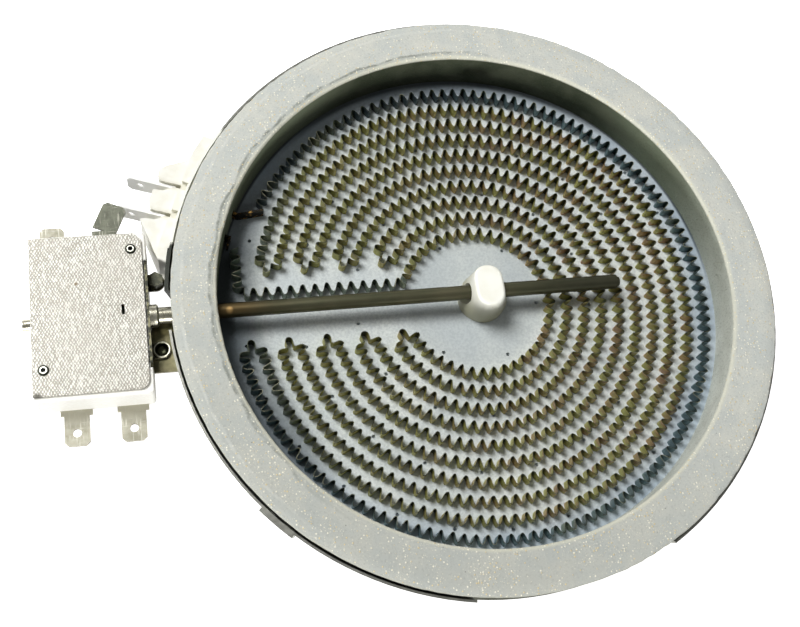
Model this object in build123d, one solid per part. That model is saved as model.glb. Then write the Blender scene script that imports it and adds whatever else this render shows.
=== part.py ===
from build123d import *
import os
from math import asin, cos, degrees, hypot, radians, sin, tan

# A round radiant heating element for a glass hob, in millimetres.
# +Z is up, Z = 0 is the underside of the steel pan and the Z axis is the centre of the ring.
# The temperature limiter's rod lies along X, with its head on the -X side.

# Steel pan
sheet = 0.6
pan_height = 22.8
pan_wall_slope = 13.3
pan_corner_radius = 1.2

# Insulating base and ring
base_top = 12.4
base_side_gap = 0.2
ring_height = 25.0
ring_inner_radius = 70.5
ring_outer_radius = 82.5
ring_side_gap = 0.45
ring_outer_bevel = 2.4
ring_outer_bevel_drop = 0.5
ring_inner_bevel = 1.4
ring_inner_bevel_drop = 0.35

# Pin marks in the base: rows of small blind holes on circles
pin_hole_diameter = 1.0
pin_hole_depth = 1.5
first_pin_circle = 17.9
pin_circle_step = 15.4
pin_counts = [6, 13, 20, 26]
pin_start_angle = -6.6

# Heating ribbon
track_count = 10
first_track_radius = 20.75
track_step = 5.0
pattern_centre = (0.3, -1.2)
ribbon_height = 3.5
ribbon_thickness = 0.25
wave_width = 2.5
wave_pitch = 3.5
hairpin_waves = 2
lower_hairpin_y = -11.3
upper_hairpin_y = 15.0
outer_track_start_angle = 150.5
feed_run_y = 5.8
feed_run_end_x = -64.6
feed_turn_radius = 2.5
feed_end_y = 19.6

# Limiter tube
tube_height = 19.0
tube_diameter = 4.0
tube_bore = 2.6
tube_end_x = 39.6
tube_head_insertion = 4.0
plug_projection = 1.0
plug_length = 3.0
plug_round = 0.35
rod_diameter = 1.8
sleeve_diameter = 4.3
sleeve_length = 6.6
ferrule_diameter = 6.0
ferrule_length = 2.2
ferrule_chamfer = 0.4
tube_fit = 0.05
ring_tunnel_clearance = 0.35

# Ceramic bead that carries the tube
bead_x = 2.2
bead_foot_diameter = 13.4
bead_top_width = 11.6
bead_top_corner = 3.6
bead_height = 11.6
bead_top_length = 7.7
bead_flank_start = 3.0
bead_hole_clearance = 0.35
bead_mouth_start = 4.5
bead_mouth_slope = 38.0
bead_edge_radius = 0.9

# Limiter head
head_max_x = -87.9
head_length = 29.2
head_width = 44.5
head_centre_y = 0.65
head_top = 21.7
head_height = 9.7
head_corner_radius = 1.2
head_edge_radius = 0.4
cavity_floor = 3.0
cavity_wall_x = 5.2
cavity_wall_y = 5.3
cover_length = 28.4
cover_width = 42.6
cover_centre = (-103.1, 1.0)
cover_thickness = 0.8
cover_round = 2.5
cover_clip = 2.0
cover_slot = (0.8, 2.8)
cover_slot_place = (-94.4, 1.2)
rivet_places = [(-91.7, 17.8), (-114.5, -13.6)]
rivet_head_diameter = 2.8
rivet_head_height = 0.4
rivet_head_round = 0.3
rivet_shank_diameter = 1.9
rivet_bore = 1.2
adjuster_diameter = 3.0
adjuster_tip_diameter = 2.0
adjuster_projection = 2.5
adjuster_tip_x = -111.5
adjuster_slot_width = 0.6
adjuster_slot_depth = 0.6

# Spade tabs: 6.3 x 0.8 blades
tab_width = 6.3
tab_thickness = 0.8
tab_blade_length = 8.0
tab_shoulder_width = 8.0
tab_shoulder_length = 1.4
tab_tip_chamfer = 1.0
tab_hole_diameter = 2.2
tab_hole_from_tip = 3.4
tab_inner_end = 9.0
tab_groove_clearance = 0.1
front_left_tab_x = -107.9
front_right_tab_x = -93.8
back_tab_x = -112.4
back_tab_tip_y = 29.6
raised_tab_x = -98.2
raised_tab_turn = 24.5
raised_tab_height = 20.2
leg_length = 5.0
leg_y = 12.5
leg_top = 20.1

# Switches in the head
switch_a_x = -97.5
switch_b_x = -109.6
spring_thickness = 0.3
spring_height = 3.2
spring_overrun = 2.0
contact_diameter = 2.6
contact_thickness = 0.8
actuator_diameter = 2.0
actuator_start_x = -92.5
link_diameter = 1.5

# Limiter bracket
mount_plate_thickness = 0.6
mount_plate_width = 29.0
mount_plate_drop = 11.0
mount_plate_gap = 0.3
mount_plate_corner = 1.1
ear_height = 14.3
ear_width = 4.8
hex_screw_place = (-86.0, 10.9)
hex_across_flats = 3.7
hex_head_height = 2.5
hex_shank_diameter = 2.2
hex_shank_length = 2.0
clamp_rivet_place = (-85.55, -8.2)
clamp_rivet_diameter = 4.6
clamp_rivet_height = 0.8
clamp_rivet_round = 0.35
clamp_rivet_shank = 3.2
clamp_rivet_bore = 2.5
clamp_rivet_tail_diameter = 4.0
clamp_rivet_tail_height = 1.1
bracket_thickness = 0.8
bracket_start_angle = 181.5
bracket_end_angle = 189.9
bracket_foot = 4.0
bracket_shelf_root = 2.0

# Terminal block on the pan's side
block_angle = 158.0
block_bottom = 7.6
block_top = 20.4
block_ridge_top = 21.8
block_ridge_reach = 85.4
block_saddle_width = 2.4
block_wall_gap = 0.1
block_rivet_angle = 159.0
block_rivet_diameter = 2.4
block_rivet_head = 4.0
block_rivet_height = 10.2
block_rivet_head_height = 1.0
block_rivet_seat = 91.6
# The block's outer side in plan: (distance along the block, distance out from the Z axis)
block_outer_side = [
    (-20.5, 84.2), (-14.8, 85.4), (-12.4, 86.6), (-10.5, 89.3), (-9.6, 90.8),
    (-7.7, 92.5), (-5.8, 92.2), (-4.5, 91.0), (-1.35, 92.1), (2.0, 92.2),
    (4.55, 90.7), (8.0, 92.5), (10.4, 90.5), (15.4, 86.4), (17.9, 84.2),
]
# The two grooves are parallel; each place is how far a groove's middle lies to one side of the Z axis
groove_direction = 161.3
block_groove_places = [-9.3, -0.4]
block_groove_width = 1.0
block_groove_floor = 11.4
# One side of a groove opens outward: (distance out along the groove, distance from its middle)
block_groove_mouth = [(86.9, 0.5), (89.3, 2.2), (91.5, 2.4), (92.8, 2.9)]

# Connecting blades and leads between the block and the ribbon
blade_tip_reach = 99.8
blade_bottom = 12.9
lead_thickness = 0.5
lead_height = 3.5
lead_lift = 0.1
lead_root_radius = 86.0
lead_foot = 1.0
lead_bend_radius = 69.2
lead_channel_width = 1.7
lead_channel_height = 4.3
weld_gap = 0.15

# Openings in the pan's rim
rim_cut_start = 260.0
rim_cut_end = 298.0
rim_cut_depth = 6.5
tube_notch_width = 11.0
tube_notch_clearance = 0.8

# Thicker stretch of the pan's wall beside the tube's notch
rim_pad_start = 168.0
rim_pad_end = 177.5
rim_pad_bottom = 14.0
rim_pad_top = 22.2
rim_pad_stand = 0.6
rim_pad_margin = 0.3

# Pressed ear on the pan's wall
ear_pad_angle = 223.3
ear_pad_length = 10.5
ear_pad_bottom = 15.5
ear_pad_stand = 1.0
ear_window_length = 2.6
ear_window_height = 3.2
ear_window_spread = 6.0

# How far cutting shapes reach past what they cut
overlap = 1.0
far_overlap = 3.0

# Values that follow from those above
sheet_on_slope = sheet / cos(radians(pan_wall_slope))
pan_rim_radius = ring_outer_radius + ring_side_gap + sheet_on_slope
pan_foot_radius = pan_rim_radius - pan_height * sin(radians(pan_wall_slope)) / cos(radians(pan_wall_slope))
head_centre_x = head_max_x - head_length / 2
head_front_y = head_centre_y - head_width / 2
head_back_y = head_centre_y + head_width / 2
head_bottom = head_top - head_height
mount_plate_back_x = head_max_x - mount_plate_thickness
tube_start_x = head_max_x - tube_head_insertion
block_nose = max(out for _, out in block_outer_side)


def pan_radius(z):
    """Outer radius of the pan's sloping wall at a height."""
    return pan_foot_radius + (pan_rim_radius - pan_foot_radius) * z / pan_height


def revolved(points):
    """A solid turned about Z from points given as (radius, height)."""
    outline = Polyline(*points, close=True)
    return revolve(Plane.XZ * make_face(outline), axis=Axis.Z)


def block_of(x, y, z):
    """A box between two limits on each axis."""
    size = Box(x[1] - x[0], y[1] - y[0], z[1] - z[0])
    return Pos((x[0] + x[1]) / 2, (y[0] + y[1]) / 2, (z[0] + z[1]) / 2) * size


def rod_x(diameter, start, end, y=0.0, z=tube_height):
    """A round bar along X."""
    bar = Rot(0, 90, 0) * Cylinder(diameter / 2, end - start)
    return Pos((start + end) / 2, y, z) * bar


def post(diameter, place, bottom, top):
    """A round bar along Z."""
    bar = Cylinder(diameter / 2, top - bottom)
    return Pos(place[0], place[1], (bottom + top) / 2) * bar


def polar(angle, radius):
    return (radius * cos(radians(angle)), radius * sin(radians(angle)))


def radial_box(angle, inner, outer, width, bottom, top, side=0.0):
    """A box that points away from the Z axis at an angle, moved sideways by side."""
    bar = block_of((inner, outer), (side - width / 2, side + width / 2), (bottom, top))
    return Rot(0, 0, angle) * bar


def sector(points, start, end):
    """Part of a turned solid between two angles."""
    outline = Polyline(*points, close=True)
    part = revolve(Plane.XZ * make_face(outline), axis=Axis.Z, revolution_arc=end - start)
    return Rot(0, 0, start) * part


def strip(points, thickness, bottom, height):
    """An upright strip that follows a line of plan points, with mitred corners."""
    left = []
    right = []
    last = len(points) - 1
    for i, (x, y) in enumerate(points):
        before = points[max(i - 1, 0)]
        after = points[min(i + 1, last)]
        a = unit(before, (x, y)) if i > 0 else unit((x, y), after)
        b = unit((x, y), after) if i < last else a
        square = 1 + a[0] * b[0] + a[1] * b[1]
        shift = ((-a[1] - b[1]) / square, (a[0] + b[0]) / square)
        left.append((x + shift[0] * thickness / 2, y + shift[1] * thickness / 2))
        right.append((x - shift[0] * thickness / 2, y - shift[1] * thickness / 2))
    outline = [Vector(x, y, bottom) for x, y in left + right[::-1]]
    face = Face(Wire.make_polygon(outline, close=True))
    return Solid.extrude(face, Vector(0, 0, height))


def unit(a, b):
    length = hypot(b[0] - a[0], b[1] - a[1])
    return ((b[0] - a[0]) / length, (b[1] - a[1]) / length)


def block_point(t, w):
    """Plan point from a distance along the terminal block and a distance out from the axis."""
    angle = radians(block_angle)
    return (w * cos(angle) - t * sin(angle), w * sin(angle) + t * cos(angle))


def groove_angle(place):
    """Polar angle of the point where a lead reaches its groove."""
    return groove_direction + degrees(asin(place / lead_root_radius))


def groove_root(place):
    """Distance out along a groove of the point where its lead comes in."""
    return lead_root_radius * cos(asin(place / lead_root_radius))


def wall_pad(start, end, bottom, top, stand):
    """A thicker stretch of the pan's wall between two angles and two heights."""
    return sector([
        (pan_radius(bottom) - sheet_on_slope / 2, bottom),
        (pan_radius(bottom) + stand, bottom),
        (pan_radius(top) + stand, top),
        (pan_radius(top) - sheet_on_slope / 2, top),
    ], start, end)


def make_pan():
    outer = revolved([(0, 0), (pan_foot_radius, 0), (pan_rim_radius, pan_height), (0, pan_height)])
    foot = outer.edges().sort_by(Axis.Z)[0]
    outer = fillet(foot, pan_corner_radius)
    inner_top = pan_height + overlap
    inner = revolved([
        (0, sheet),
        (pan_radius(sheet) - sheet_on_slope, sheet),
        (pan_radius(inner_top) - sheet_on_slope, inner_top),
        (0, inner_top),
    ])
    pad_half = degrees(ear_pad_length / 2 / pan_rim_radius)
    pan = outer - inner
    pan += wall_pad(ear_pad_angle - pad_half, ear_pad_angle + pad_half,
                    ear_pad_bottom, pan_height, ear_pad_stand)
    pan += wall_pad(rim_pad_start, rim_pad_end, rim_pad_bottom, rim_pad_top, rim_pad_stand)
    window_bottom = (ear_pad_bottom + pan_height - ear_window_height) / 2
    for side in (-ear_window_spread / 2, ear_window_spread / 2):
        pan -= radial_box(ear_pad_angle, pan_foot_radius, pan_rim_radius + 2 * ear_pad_stand,
                          ear_window_length, window_bottom, window_bottom + ear_window_height, side)
    cut_points = [
        (ring_outer_radius, pan_height - rim_cut_depth),
        (ring_outer_radius + far_overlap, pan_height - rim_cut_depth),
        (ring_outer_radius + far_overlap, inner_top),
        (ring_outer_radius - far_overlap, inner_top),
        (ring_outer_radius - far_overlap, pan_height - rim_cut_depth),
    ]
    pan -= sector(cut_points, rim_cut_start, rim_cut_end)
    notch_bottom = tube_height - sleeve_diameter / 2 - tube_notch_clearance
    pan -= radial_box(180, ring_inner_radius, pan_rim_radius + overlap,
                      tube_notch_width, notch_bottom, inner_top)
    for place in block_groove_places:
        pan -= radial_box(groove_angle(place), ring_inner_radius, pan_rim_radius + overlap,
                          lead_channel_width, base_top, base_top + lead_channel_height)
    pan -= block_rivet_bore(block_rivet_diameter + tube_fit, ring_inner_radius + overlap)
    return pan


def make_base():
    def side(z):
        return pan_radius(z) - sheet_on_slope - base_side_gap
    base = revolved([(0, sheet), (side(sheet), sheet), (side(base_top), base_top), (0, base_top)])
    holes = []
    for row, count in enumerate(pin_counts):
        radius = first_pin_circle + row * pin_circle_step
        for i in range(count):
            place = polar(pin_start_angle + 360 / count * i, radius)
            holes.append(post(pin_hole_diameter, place, base_top - pin_hole_depth, base_top + overlap))
    return base - holes


def make_ring():
    def side(z):
        return min(pan_radius(z) - sheet_on_slope - ring_side_gap, ring_outer_radius)
    ring = revolved([
        (ring_inner_radius, base_top),
        (side(base_top), base_top),
        (ring_outer_radius, pan_height),
        (ring_outer_radius, ring_height - ring_outer_bevel_drop),
        (ring_outer_radius - ring_outer_bevel, ring_height),
        (ring_inner_radius + ring_inner_bevel, ring_height),
        (ring_inner_radius, ring_height - ring_inner_bevel_drop),
    ])
    tunnel = sleeve_diameter + 2 * ring_tunnel_clearance
    ring -= rod_x(tunnel, -ring_outer_radius - overlap, -ring_inner_radius + far_overlap)
    for place in block_groove_places:
        ring -= radial_box(groove_angle(place), ring_inner_radius - overlap, pan_rim_radius,
                           lead_channel_width, base_top - overlap, base_top + lead_channel_height)
    return ring


# The ribbon's centre line is a row of stretches: arcs and straight runs.
# Each stretch gives a point and a left-hand normal at a share of its length.
def arc_stretch(centre, radius, start, end):
    """Arc from one polar angle to another, in degrees; anticlockwise when end > start."""
    turn = 1 if end > start else -1

    def at(share):
        angle = radians(start + (end - start) * share)
        out = (cos(angle), sin(angle))
        point = (centre[0] + radius * out[0], centre[1] + radius * out[1])
        return point, (-turn * out[0], -turn * out[1])
    return at, radius * abs(radians(end - start))


def line_stretch(start, end):
    def at(share):
        point = (start[0] + (end[0] - start[0]) * share, start[1] + (end[1] - start[1]) * share)
        ahead = unit(start, end)
        return point, (-ahead[1], ahead[0])
    return at, hypot(end[0] - start[0], end[1] - start[1])


def track_radius(track):
    """Radius of a track, where track 1 is the innermost."""
    return first_track_radius + (track - 1) * track_step


def hairpin_angle(track, y):
    """Polar angle, about the pattern's centre, of the hairpin between a track and the next one in."""
    middle = track_radius(track) - track_step / 2
    return 180 - degrees(asin((y - pattern_centre[1]) / middle))


def feed_arc_end():
    """Angle at which the innermost track leaves its circle for the run beside the rod."""
    rise = feed_run_y + feed_turn_radius - pattern_centre[1]
    return 180 - degrees(asin(rise / (track_radius(1) + feed_turn_radius)))


def ribbon_stretches():
    """The whole centre line, from the outermost track's end to the feed's end.

    Each item is a stretch, its length and the number of half waves in a hairpin, or None.
    """
    stretches = []
    clockwise = True
    start = outer_track_start_angle
    for track in range(track_count, 0, -1):
        radius = track_radius(track)
        if track == 1:
            end = feed_arc_end()
        else:
            end = hairpin_angle(track, lower_hairpin_y if clockwise else upper_hairpin_y)
        if clockwise:
            sweep = (start, end - 360)
        else:
            sweep = (start - 360, end)
        stretches.append((*arc_stretch(pattern_centre, radius, *sweep), None))
        if track > 1:
            middle = radius - track_step / 2
            out = (cos(radians(end)), sin(radians(end)))
            centre = (pattern_centre[0] + middle * out[0], pattern_centre[1] + middle * out[1])
            turn = -180 if clockwise else 180
            pin = arc_stretch(centre, track_step / 2, end, end + turn)
            stretches.append((*pin, 2 * hairpin_waves))
        start = end
        clockwise = not clockwise
    leave = feed_arc_end()
    reach = track_radius(1) + feed_turn_radius
    corner = (pattern_centre[0] + reach * cos(radians(leave)), feed_run_y + feed_turn_radius)
    stretches.append((*arc_stretch(corner, feed_turn_radius, leave + 180, 270), 2))
    bend = (feed_run_end_x + feed_turn_radius, feed_run_y + feed_turn_radius)
    stretches.append((*line_stretch((corner[0], feed_run_y), (bend[0], feed_run_y)), None))
    stretches.append((*arc_stretch(bend, feed_turn_radius, 270, 180), 2))
    stretches.append((*line_stretch((feed_run_end_x, bend[1]), (feed_run_end_x, feed_end_y)), None))
    return stretches


def half_waves(length, fixed, odd):
    """Whole number of half waves on a stretch; odd on a track that joins two hairpins."""
    if fixed is not None:
        return fixed
    count = max(round(2 * length / wave_pitch), 1)
    if odd and count % 2 == 0:
        count += 1
    return count


def ribbon_points():
    """Zigzag corners of the ribbon in plan, half a wave apart."""
    stretches = ribbon_stretches()
    counts = []
    for i, (_, length, fixed) in enumerate(stretches):
        between_hairpins = fixed is None and 0 < i < 2 * track_count - 2
        counts.append(half_waves(length, fixed, between_hairpins))
    side = 1 if counts[0] % 2 == 0 else -1
    points = []
    for (at, _, _), count in zip(stretches, counts):
        first = 0 if not points else 1
        for step in range(first, count + 1):
            point, normal = at(step / count)
            reach = side * wave_width / 2
            points.append((point[0] + normal[0] * reach, point[1] + normal[1] * reach))
            side = -side
    return points


def make_ribbon():
    return strip(ribbon_points(), ribbon_thickness, base_top, ribbon_height)


def lead_points(place, ribbon_end, before):
    """Plan line of a lead: in from its blade, through the ring, then across to the ribbon's end."""
    angle = groove_angle(place)
    root = polar(angle, lead_root_radius)
    foot = polar(groove_direction, lead_foot)
    joint = (root[0] + foot[0], root[1] + foot[1])
    bend = polar(angle, lead_bend_radius)
    away = unit(before, ribbon_end)
    reach = weld_gap + lead_thickness
    end = (ribbon_end[0] + away[0] * reach, ribbon_end[1] + away[1] * reach)
    return [joint, root, bend, end]


def make_leads():
    points = ribbon_points()
    bottom = base_top + lead_lift
    outer = strip(lead_points(block_groove_places[0], points[0], points[1]),
                  lead_thickness, bottom, lead_height)
    inner = strip(lead_points(block_groove_places[1], points[-1], points[-2]),
                  lead_thickness, bottom, lead_height)
    return outer, inner


def blade_outline(length, shoulder, hole):
    """Flat spade blade along +X from the shoulder's back, centred on Y."""
    half = tab_width / 2
    outline = [(0, -half), (length - tab_tip_chamfer, -half), (length, -half + tab_tip_chamfer),
               (length, half - tab_tip_chamfer), (length - tab_tip_chamfer, half), (0, half)]
    if shoulder:
        wide = tab_shoulder_width / 2
        back = [(tab_shoulder_length, half), (tab_shoulder_length, wide), (0, wide),
                (0, -wide), (tab_shoulder_length, -wide), (tab_shoulder_length, -half)]
        outline = outline[1:-1] + back
    face = make_face(Polyline(*outline, close=True))
    if hole:
        face -= Pos(length - tab_hole_from_tip, 0) * Circle(tab_hole_diameter / 2)
    return face


def make_block_blade(place):
    """Upright spade blade that stands in a groove of the terminal block."""
    start = groove_root(place) + lead_foot
    length = blade_tip_reach - start
    flat = extrude(blade_outline(length, False, True), amount=tab_thickness / 2, both=True)
    upright = Rot(90, 0, 0) * flat
    middle = blade_bottom + tab_width / 2
    return Rot(0, 0, groove_direction) * Pos(start, place, middle) * upright


def make_front_tab(x, leg_x):
    """Tab that lies in a groove under the head, with one leg up into the switch."""
    edge = head_front_y - tube_fit
    length = tab_shoulder_length + tab_blade_length
    flat = extrude(blade_outline(length, True, True), amount=tab_thickness)
    tab = Pos(x, edge, head_bottom) * Rot(0, 0, -90) * flat
    tab += block_of((x - tab_width / 2, x + tab_width / 2), (edge, -tab_inner_end),
                    (head_bottom, head_bottom + tab_thickness))
    tab += leg(leg_x, -leg_y, head_bottom, leg_top)
    return tab


def make_back_tab(x, leg_x):
    """A shorter tab on the far side, lower than the raised one."""
    edge = head_back_y + tube_fit
    flat = extrude(blade_outline(back_tab_tip_y - edge, False, True), amount=tab_thickness)
    tab = Pos(x, edge, head_bottom) * Rot(0, 0, 90) * flat
    tab += block_of((x - tab_width / 2, x + tab_width / 2), (tab_inner_end, edge),
                    (head_bottom, head_bottom + tab_thickness))
    tab += leg(leg_x, leg_y, head_bottom, leg_top)
    return tab


def make_raised_tab(x, leg_x):
    """Tab that leaves the head just under the cover and is turned sideways."""
    root = head_back_y + tab_width / 2 * sin(radians(raised_tab_turn))
    flat = extrude(blade_outline(tab_blade_length, False, False), amount=tab_thickness)
    tab = Pos(x, root, raised_tab_height) * Rot(0, 0, 90 - raised_tab_turn) * flat
    tab += block_of((x - tab_width / 2, x + tab_width / 2), (tab_inner_end, root),
                    (raised_tab_height, raised_tab_height + tab_thickness))
    tab += leg(leg_x, leg_y, head_bottom + cavity_floor, raised_tab_height + tab_thickness)
    return tab


def leg(x, y, bottom, top):
    """Upright leg of a tab, with its +X face at x + tab_thickness."""
    return block_of((x, x + tab_thickness), (y - leg_length / 2, y + leg_length / 2), (bottom, top))


# Each switch is, from -X to +X: back leg, spring, moving contact, fixed contact, front leg
def front_leg_x(switch_x):
    return switch_x + spring_thickness + 2 * contact_thickness


def back_leg_x(switch_x):
    return switch_x - tab_thickness


def make_spring(switch_x):
    reach = leg_y + spring_overrun
    return block_of((switch_x, switch_x + spring_thickness), (-reach, reach),
                    (tube_height - spring_height / 2, leg_top))


def make_contacts():
    """Four contact rivet heads: a moving and a fixed one in each switch."""
    middle = (tube_height - spring_height / 2 + leg_top) / 2
    heads = []
    for switch_x in (switch_a_x, switch_b_x):
        face = switch_x + spring_thickness
        heads.append(rod_x(contact_diameter, face, face + contact_thickness, -leg_y, middle))
        heads.append(rod_x(contact_diameter, face + contact_thickness,
                           face + 2 * contact_thickness, -leg_y, middle))
    return Compound(children=[solid for head in heads for solid in head.solids()])


def make_housing():
    outline = Pos(head_centre_x, head_centre_y, head_bottom)
    outline *= RectangleRounded(head_length, head_width, head_corner_radius)
    housing = extrude(outline, amount=head_height)
    housing = fillet(housing.edges().group_by(Axis.Z)[-1], head_edge_radius)
    half_x = head_length / 2 - cavity_wall_x
    cavity_back = head_back_y - cavity_wall_y
    floor = head_bottom + cavity_floor
    housing -= block_of((head_centre_x - half_x, head_centre_x + half_x),
                        (head_front_y + cavity_wall_y, cavity_back), (floor, head_top + overlap))
    recess = mount_plate_width / 2 + mount_plate_gap
    housing -= block_of((mount_plate_back_x, head_max_x + overlap), (-recess, recess),
                        (head_bottom - overlap, head_top + overlap))
    housing -= rod_x(tube_diameter + 2 * tube_fit, tube_start_x - far_overlap, head_max_x + overlap)
    housing -= rod_x(adjuster_diameter + 2 * tube_fit, head_max_x - head_length - overlap,
                     head_centre_x - half_x - overlap / 2)
    housing -= rod_x(adjuster_tip_diameter + 2 * tube_fit, head_max_x - head_length, adjuster_tip_x)
    for place in rivet_places:
        housing -= post(rivet_shank_diameter + 2 * tube_fit, place,
                        head_bottom - overlap, head_top + overlap)
    front = (head_front_y - overlap, -tab_inner_end)
    back = (tab_inner_end, head_back_y + overlap)
    grooves = [
        (front_left_tab_x, front, front_leg_x(switch_b_x), -leg_y),
        (front_right_tab_x, front, front_leg_x(switch_a_x), -leg_y),
        (back_tab_x, back, back_leg_x(switch_b_x), leg_y),
    ]
    for x, span, leg_x, y in grooves:
        half = tab_width / 2 + tab_groove_clearance
        housing -= block_of((x - half, x + half), span,
                            (head_bottom - overlap, head_bottom + tab_thickness))
        slot = (leg_x - tab_groove_clearance, leg_x + tab_thickness + tab_groove_clearance)
        long = leg_length / 2 + tab_groove_clearance
        housing -= block_of(slot, (y - long, y + long), (head_bottom, floor + overlap))
    half = tab_width / 2 + tab_groove_clearance
    housing -= block_of((raised_tab_x - half, raised_tab_x + half),
                        (cavity_back - overlap, head_back_y + overlap),
                        (raised_tab_height, head_top + overlap))
    return housing


def make_cover():
    plate = Rectangle(cover_length, cover_width)
    corners = plate.vertices().sort_by(Axis.X)[2:].sort_by(Axis.Y)
    plate = fillet(corners[0], cover_round)
    corner = plate.vertices().sort_by(Axis.Y)[-2:].sort_by(Axis.X)[-1]
    plate = chamfer(corner, cover_clip)
    cover = Pos(*cover_centre, head_top) * extrude(plate, amount=cover_thickness)
    top = head_top + cover_thickness
    slot_x, slot_y = cover_slot_place
    cover -= block_of((slot_x - cover_slot[0] / 2, slot_x + cover_slot[0] / 2),
                      (slot_y - cover_slot[1] / 2, slot_y + cover_slot[1] / 2),
                      (head_top - overlap, top + overlap))
    for place in rivet_places:
        cover -= post(rivet_shank_diameter + 2 * tube_fit, place, head_top - overlap, top + overlap)
    return cover


def make_cover_rivets():
    """Two hollow rivets through the cover and the housing."""
    top = head_top + cover_thickness
    rivets = []
    for place in rivet_places:
        rivet = post(rivet_shank_diameter, place, head_bottom - rivet_head_height, top)
        head = post(rivet_head_diameter, place, top, top + rivet_head_height)
        rivet += fillet(head.edges().sort_by(Axis.Z)[-1], rivet_head_round)
        rivet += post(rivet_head_diameter, place, head_bottom - rivet_head_height, head_bottom)
        rivet -= post(rivet_bore, place, head_bottom - overlap, top + overlap)
        rivets.extend(rivet.solids())
    return Compound(children=rivets)


def make_adjuster():
    start = head_max_x - head_length - adjuster_projection
    shoulder = head_centre_x - head_length / 2 + cavity_wall_x - overlap
    screw = rod_x(adjuster_diameter, start, shoulder)
    screw += rod_x(adjuster_tip_diameter, shoulder, adjuster_tip_x)
    half = adjuster_slot_width / 2
    slot = block_of((start - overlap, start + adjuster_slot_depth), (-half, half),
                    (tube_height - adjuster_diameter, tube_height + adjuster_diameter))
    return screw - slot


def make_tube():
    tube = rod_x(tube_diameter, tube_start_x, tube_end_x)
    return tube - rod_x(tube_bore, tube_start_x - overlap, tube_end_x + overlap)


def make_expansion_rod():
    return rod_x(rod_diameter, actuator_start_x, tube_end_x + plug_projection - plug_length)


def make_plug():
    end = tube_end_x + plug_projection
    plug = rod_x(tube_bore, end - plug_length, end)
    return fillet(plug.edges().sort_by(Axis.X)[-1], plug_round)


def make_sleeve():
    start = head_max_x + ferrule_length
    sleeve = rod_x(sleeve_diameter, start, start + sleeve_length)
    return sleeve - rod_x(tube_diameter + 2 * tube_fit, start - overlap, start + sleeve_length + overlap)


def make_ferrule():
    end = head_max_x + ferrule_length
    ferrule = rod_x(ferrule_diameter, head_max_x, end)
    ferrule = chamfer(ferrule.edges().sort_by(Axis.X)[-1], ferrule_chamfer)
    return ferrule - rod_x(tube_diameter + 2 * tube_fit, head_max_x - overlap, end + overlap)


def make_bead():
    """Ceramic bead: a round foot that blends into a narrower oblong top."""
    flank = base_top + bead_flank_start
    top = base_top + bead_height
    foot = Pos(0, 0, base_top) * Circle(bead_foot_diameter / 2)
    waist = Pos(0, 0, flank) * Circle(bead_foot_diameter / 2)
    crown = Pos(0, 0, top) * RectangleRounded(bead_top_length, bead_top_width, bead_top_corner)
    body = extrude(foot, amount=bead_flank_start) + loft(Sketch() + [waist, crown])
    rim = body.edges().filter_by_position(Axis.Z, top - overlap / 100, top + overlap / 100)
    body = fillet(rim, bead_edge_radius)
    hole = tube_diameter + 2 * bead_hole_clearance
    body -= rod_x(hole, -bead_foot_diameter, bead_foot_diameter)
    length = bead_foot_diameter / 2
    mouth = Cone(hole / 2, hole / 2 + length * tan(radians(bead_mouth_slope)), length)
    mouth = Pos(bead_mouth_start + length / 2, 0, tube_height) * Rot(0, 90, 0) * mouth
    for turn in (0, 180):
        body -= Rot(0, 0, turn) * mouth
    return Pos(bead_x, 0, 0) * body


def make_mount_plate():
    """Upright plate on the head's inner side, with two ears bent towards the pan."""
    plate = block_of((mount_plate_back_x, head_max_x), (-mount_plate_width / 2, mount_plate_width / 2),
                     (head_top - mount_plate_drop, head_top))
    corners = plate.edges().filter_by(Axis.X)
    plate = fillet(corners, mount_plate_corner)
    top = ear_height + bracket_thickness
    for place in (hex_screw_place, clamp_rivet_place):
        ear = block_of((mount_plate_back_x, place[0]),
                       (place[1] - ear_width / 2, place[1] + ear_width / 2),
                       (top - mount_plate_thickness, top))
        ear += post(ear_width, place, top - mount_plate_thickness, top)
        plate += ear
    plate -= rod_x(tube_diameter + 2 * tube_fit, mount_plate_back_x - overlap, head_max_x + overlap)
    plate -= post(hex_shank_diameter + 2 * tube_fit, hex_screw_place, ear_height - overlap, top + overlap)
    plate -= post(clamp_rivet_shank + 2 * tube_fit, clamp_rivet_place, ear_height - overlap, top + overlap)
    return plate


def make_hex_screw():
    seat = ear_height + bracket_thickness
    head = Rot(0, 0, 90) * RegularPolygon(hex_across_flats / 2, 6, major_radius=False)
    screw = Pos(*hex_screw_place, seat) * extrude(head, amount=hex_head_height)
    screw += post(hex_shank_diameter, hex_screw_place, seat - hex_shank_length, seat)
    return screw


def make_clamp_rivet():
    seat = ear_height + bracket_thickness
    rivet = post(clamp_rivet_diameter, clamp_rivet_place, seat, seat + clamp_rivet_height)
    rivet = fillet(rivet.edges().sort_by(Axis.Z)[-1], clamp_rivet_round)
    tail = shelf_bottom() - clamp_rivet_tail_height
    rivet += post(clamp_rivet_shank, clamp_rivet_place, tail, seat)
    rivet += post(clamp_rivet_tail_diameter, clamp_rivet_place, tail, shelf_bottom())
    return rivet - post(clamp_rivet_bore, clamp_rivet_place, tail - overlap, pan_height)


def shelf_bottom():
    return ear_height + bracket_thickness - mount_plate_thickness - bracket_thickness


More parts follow.
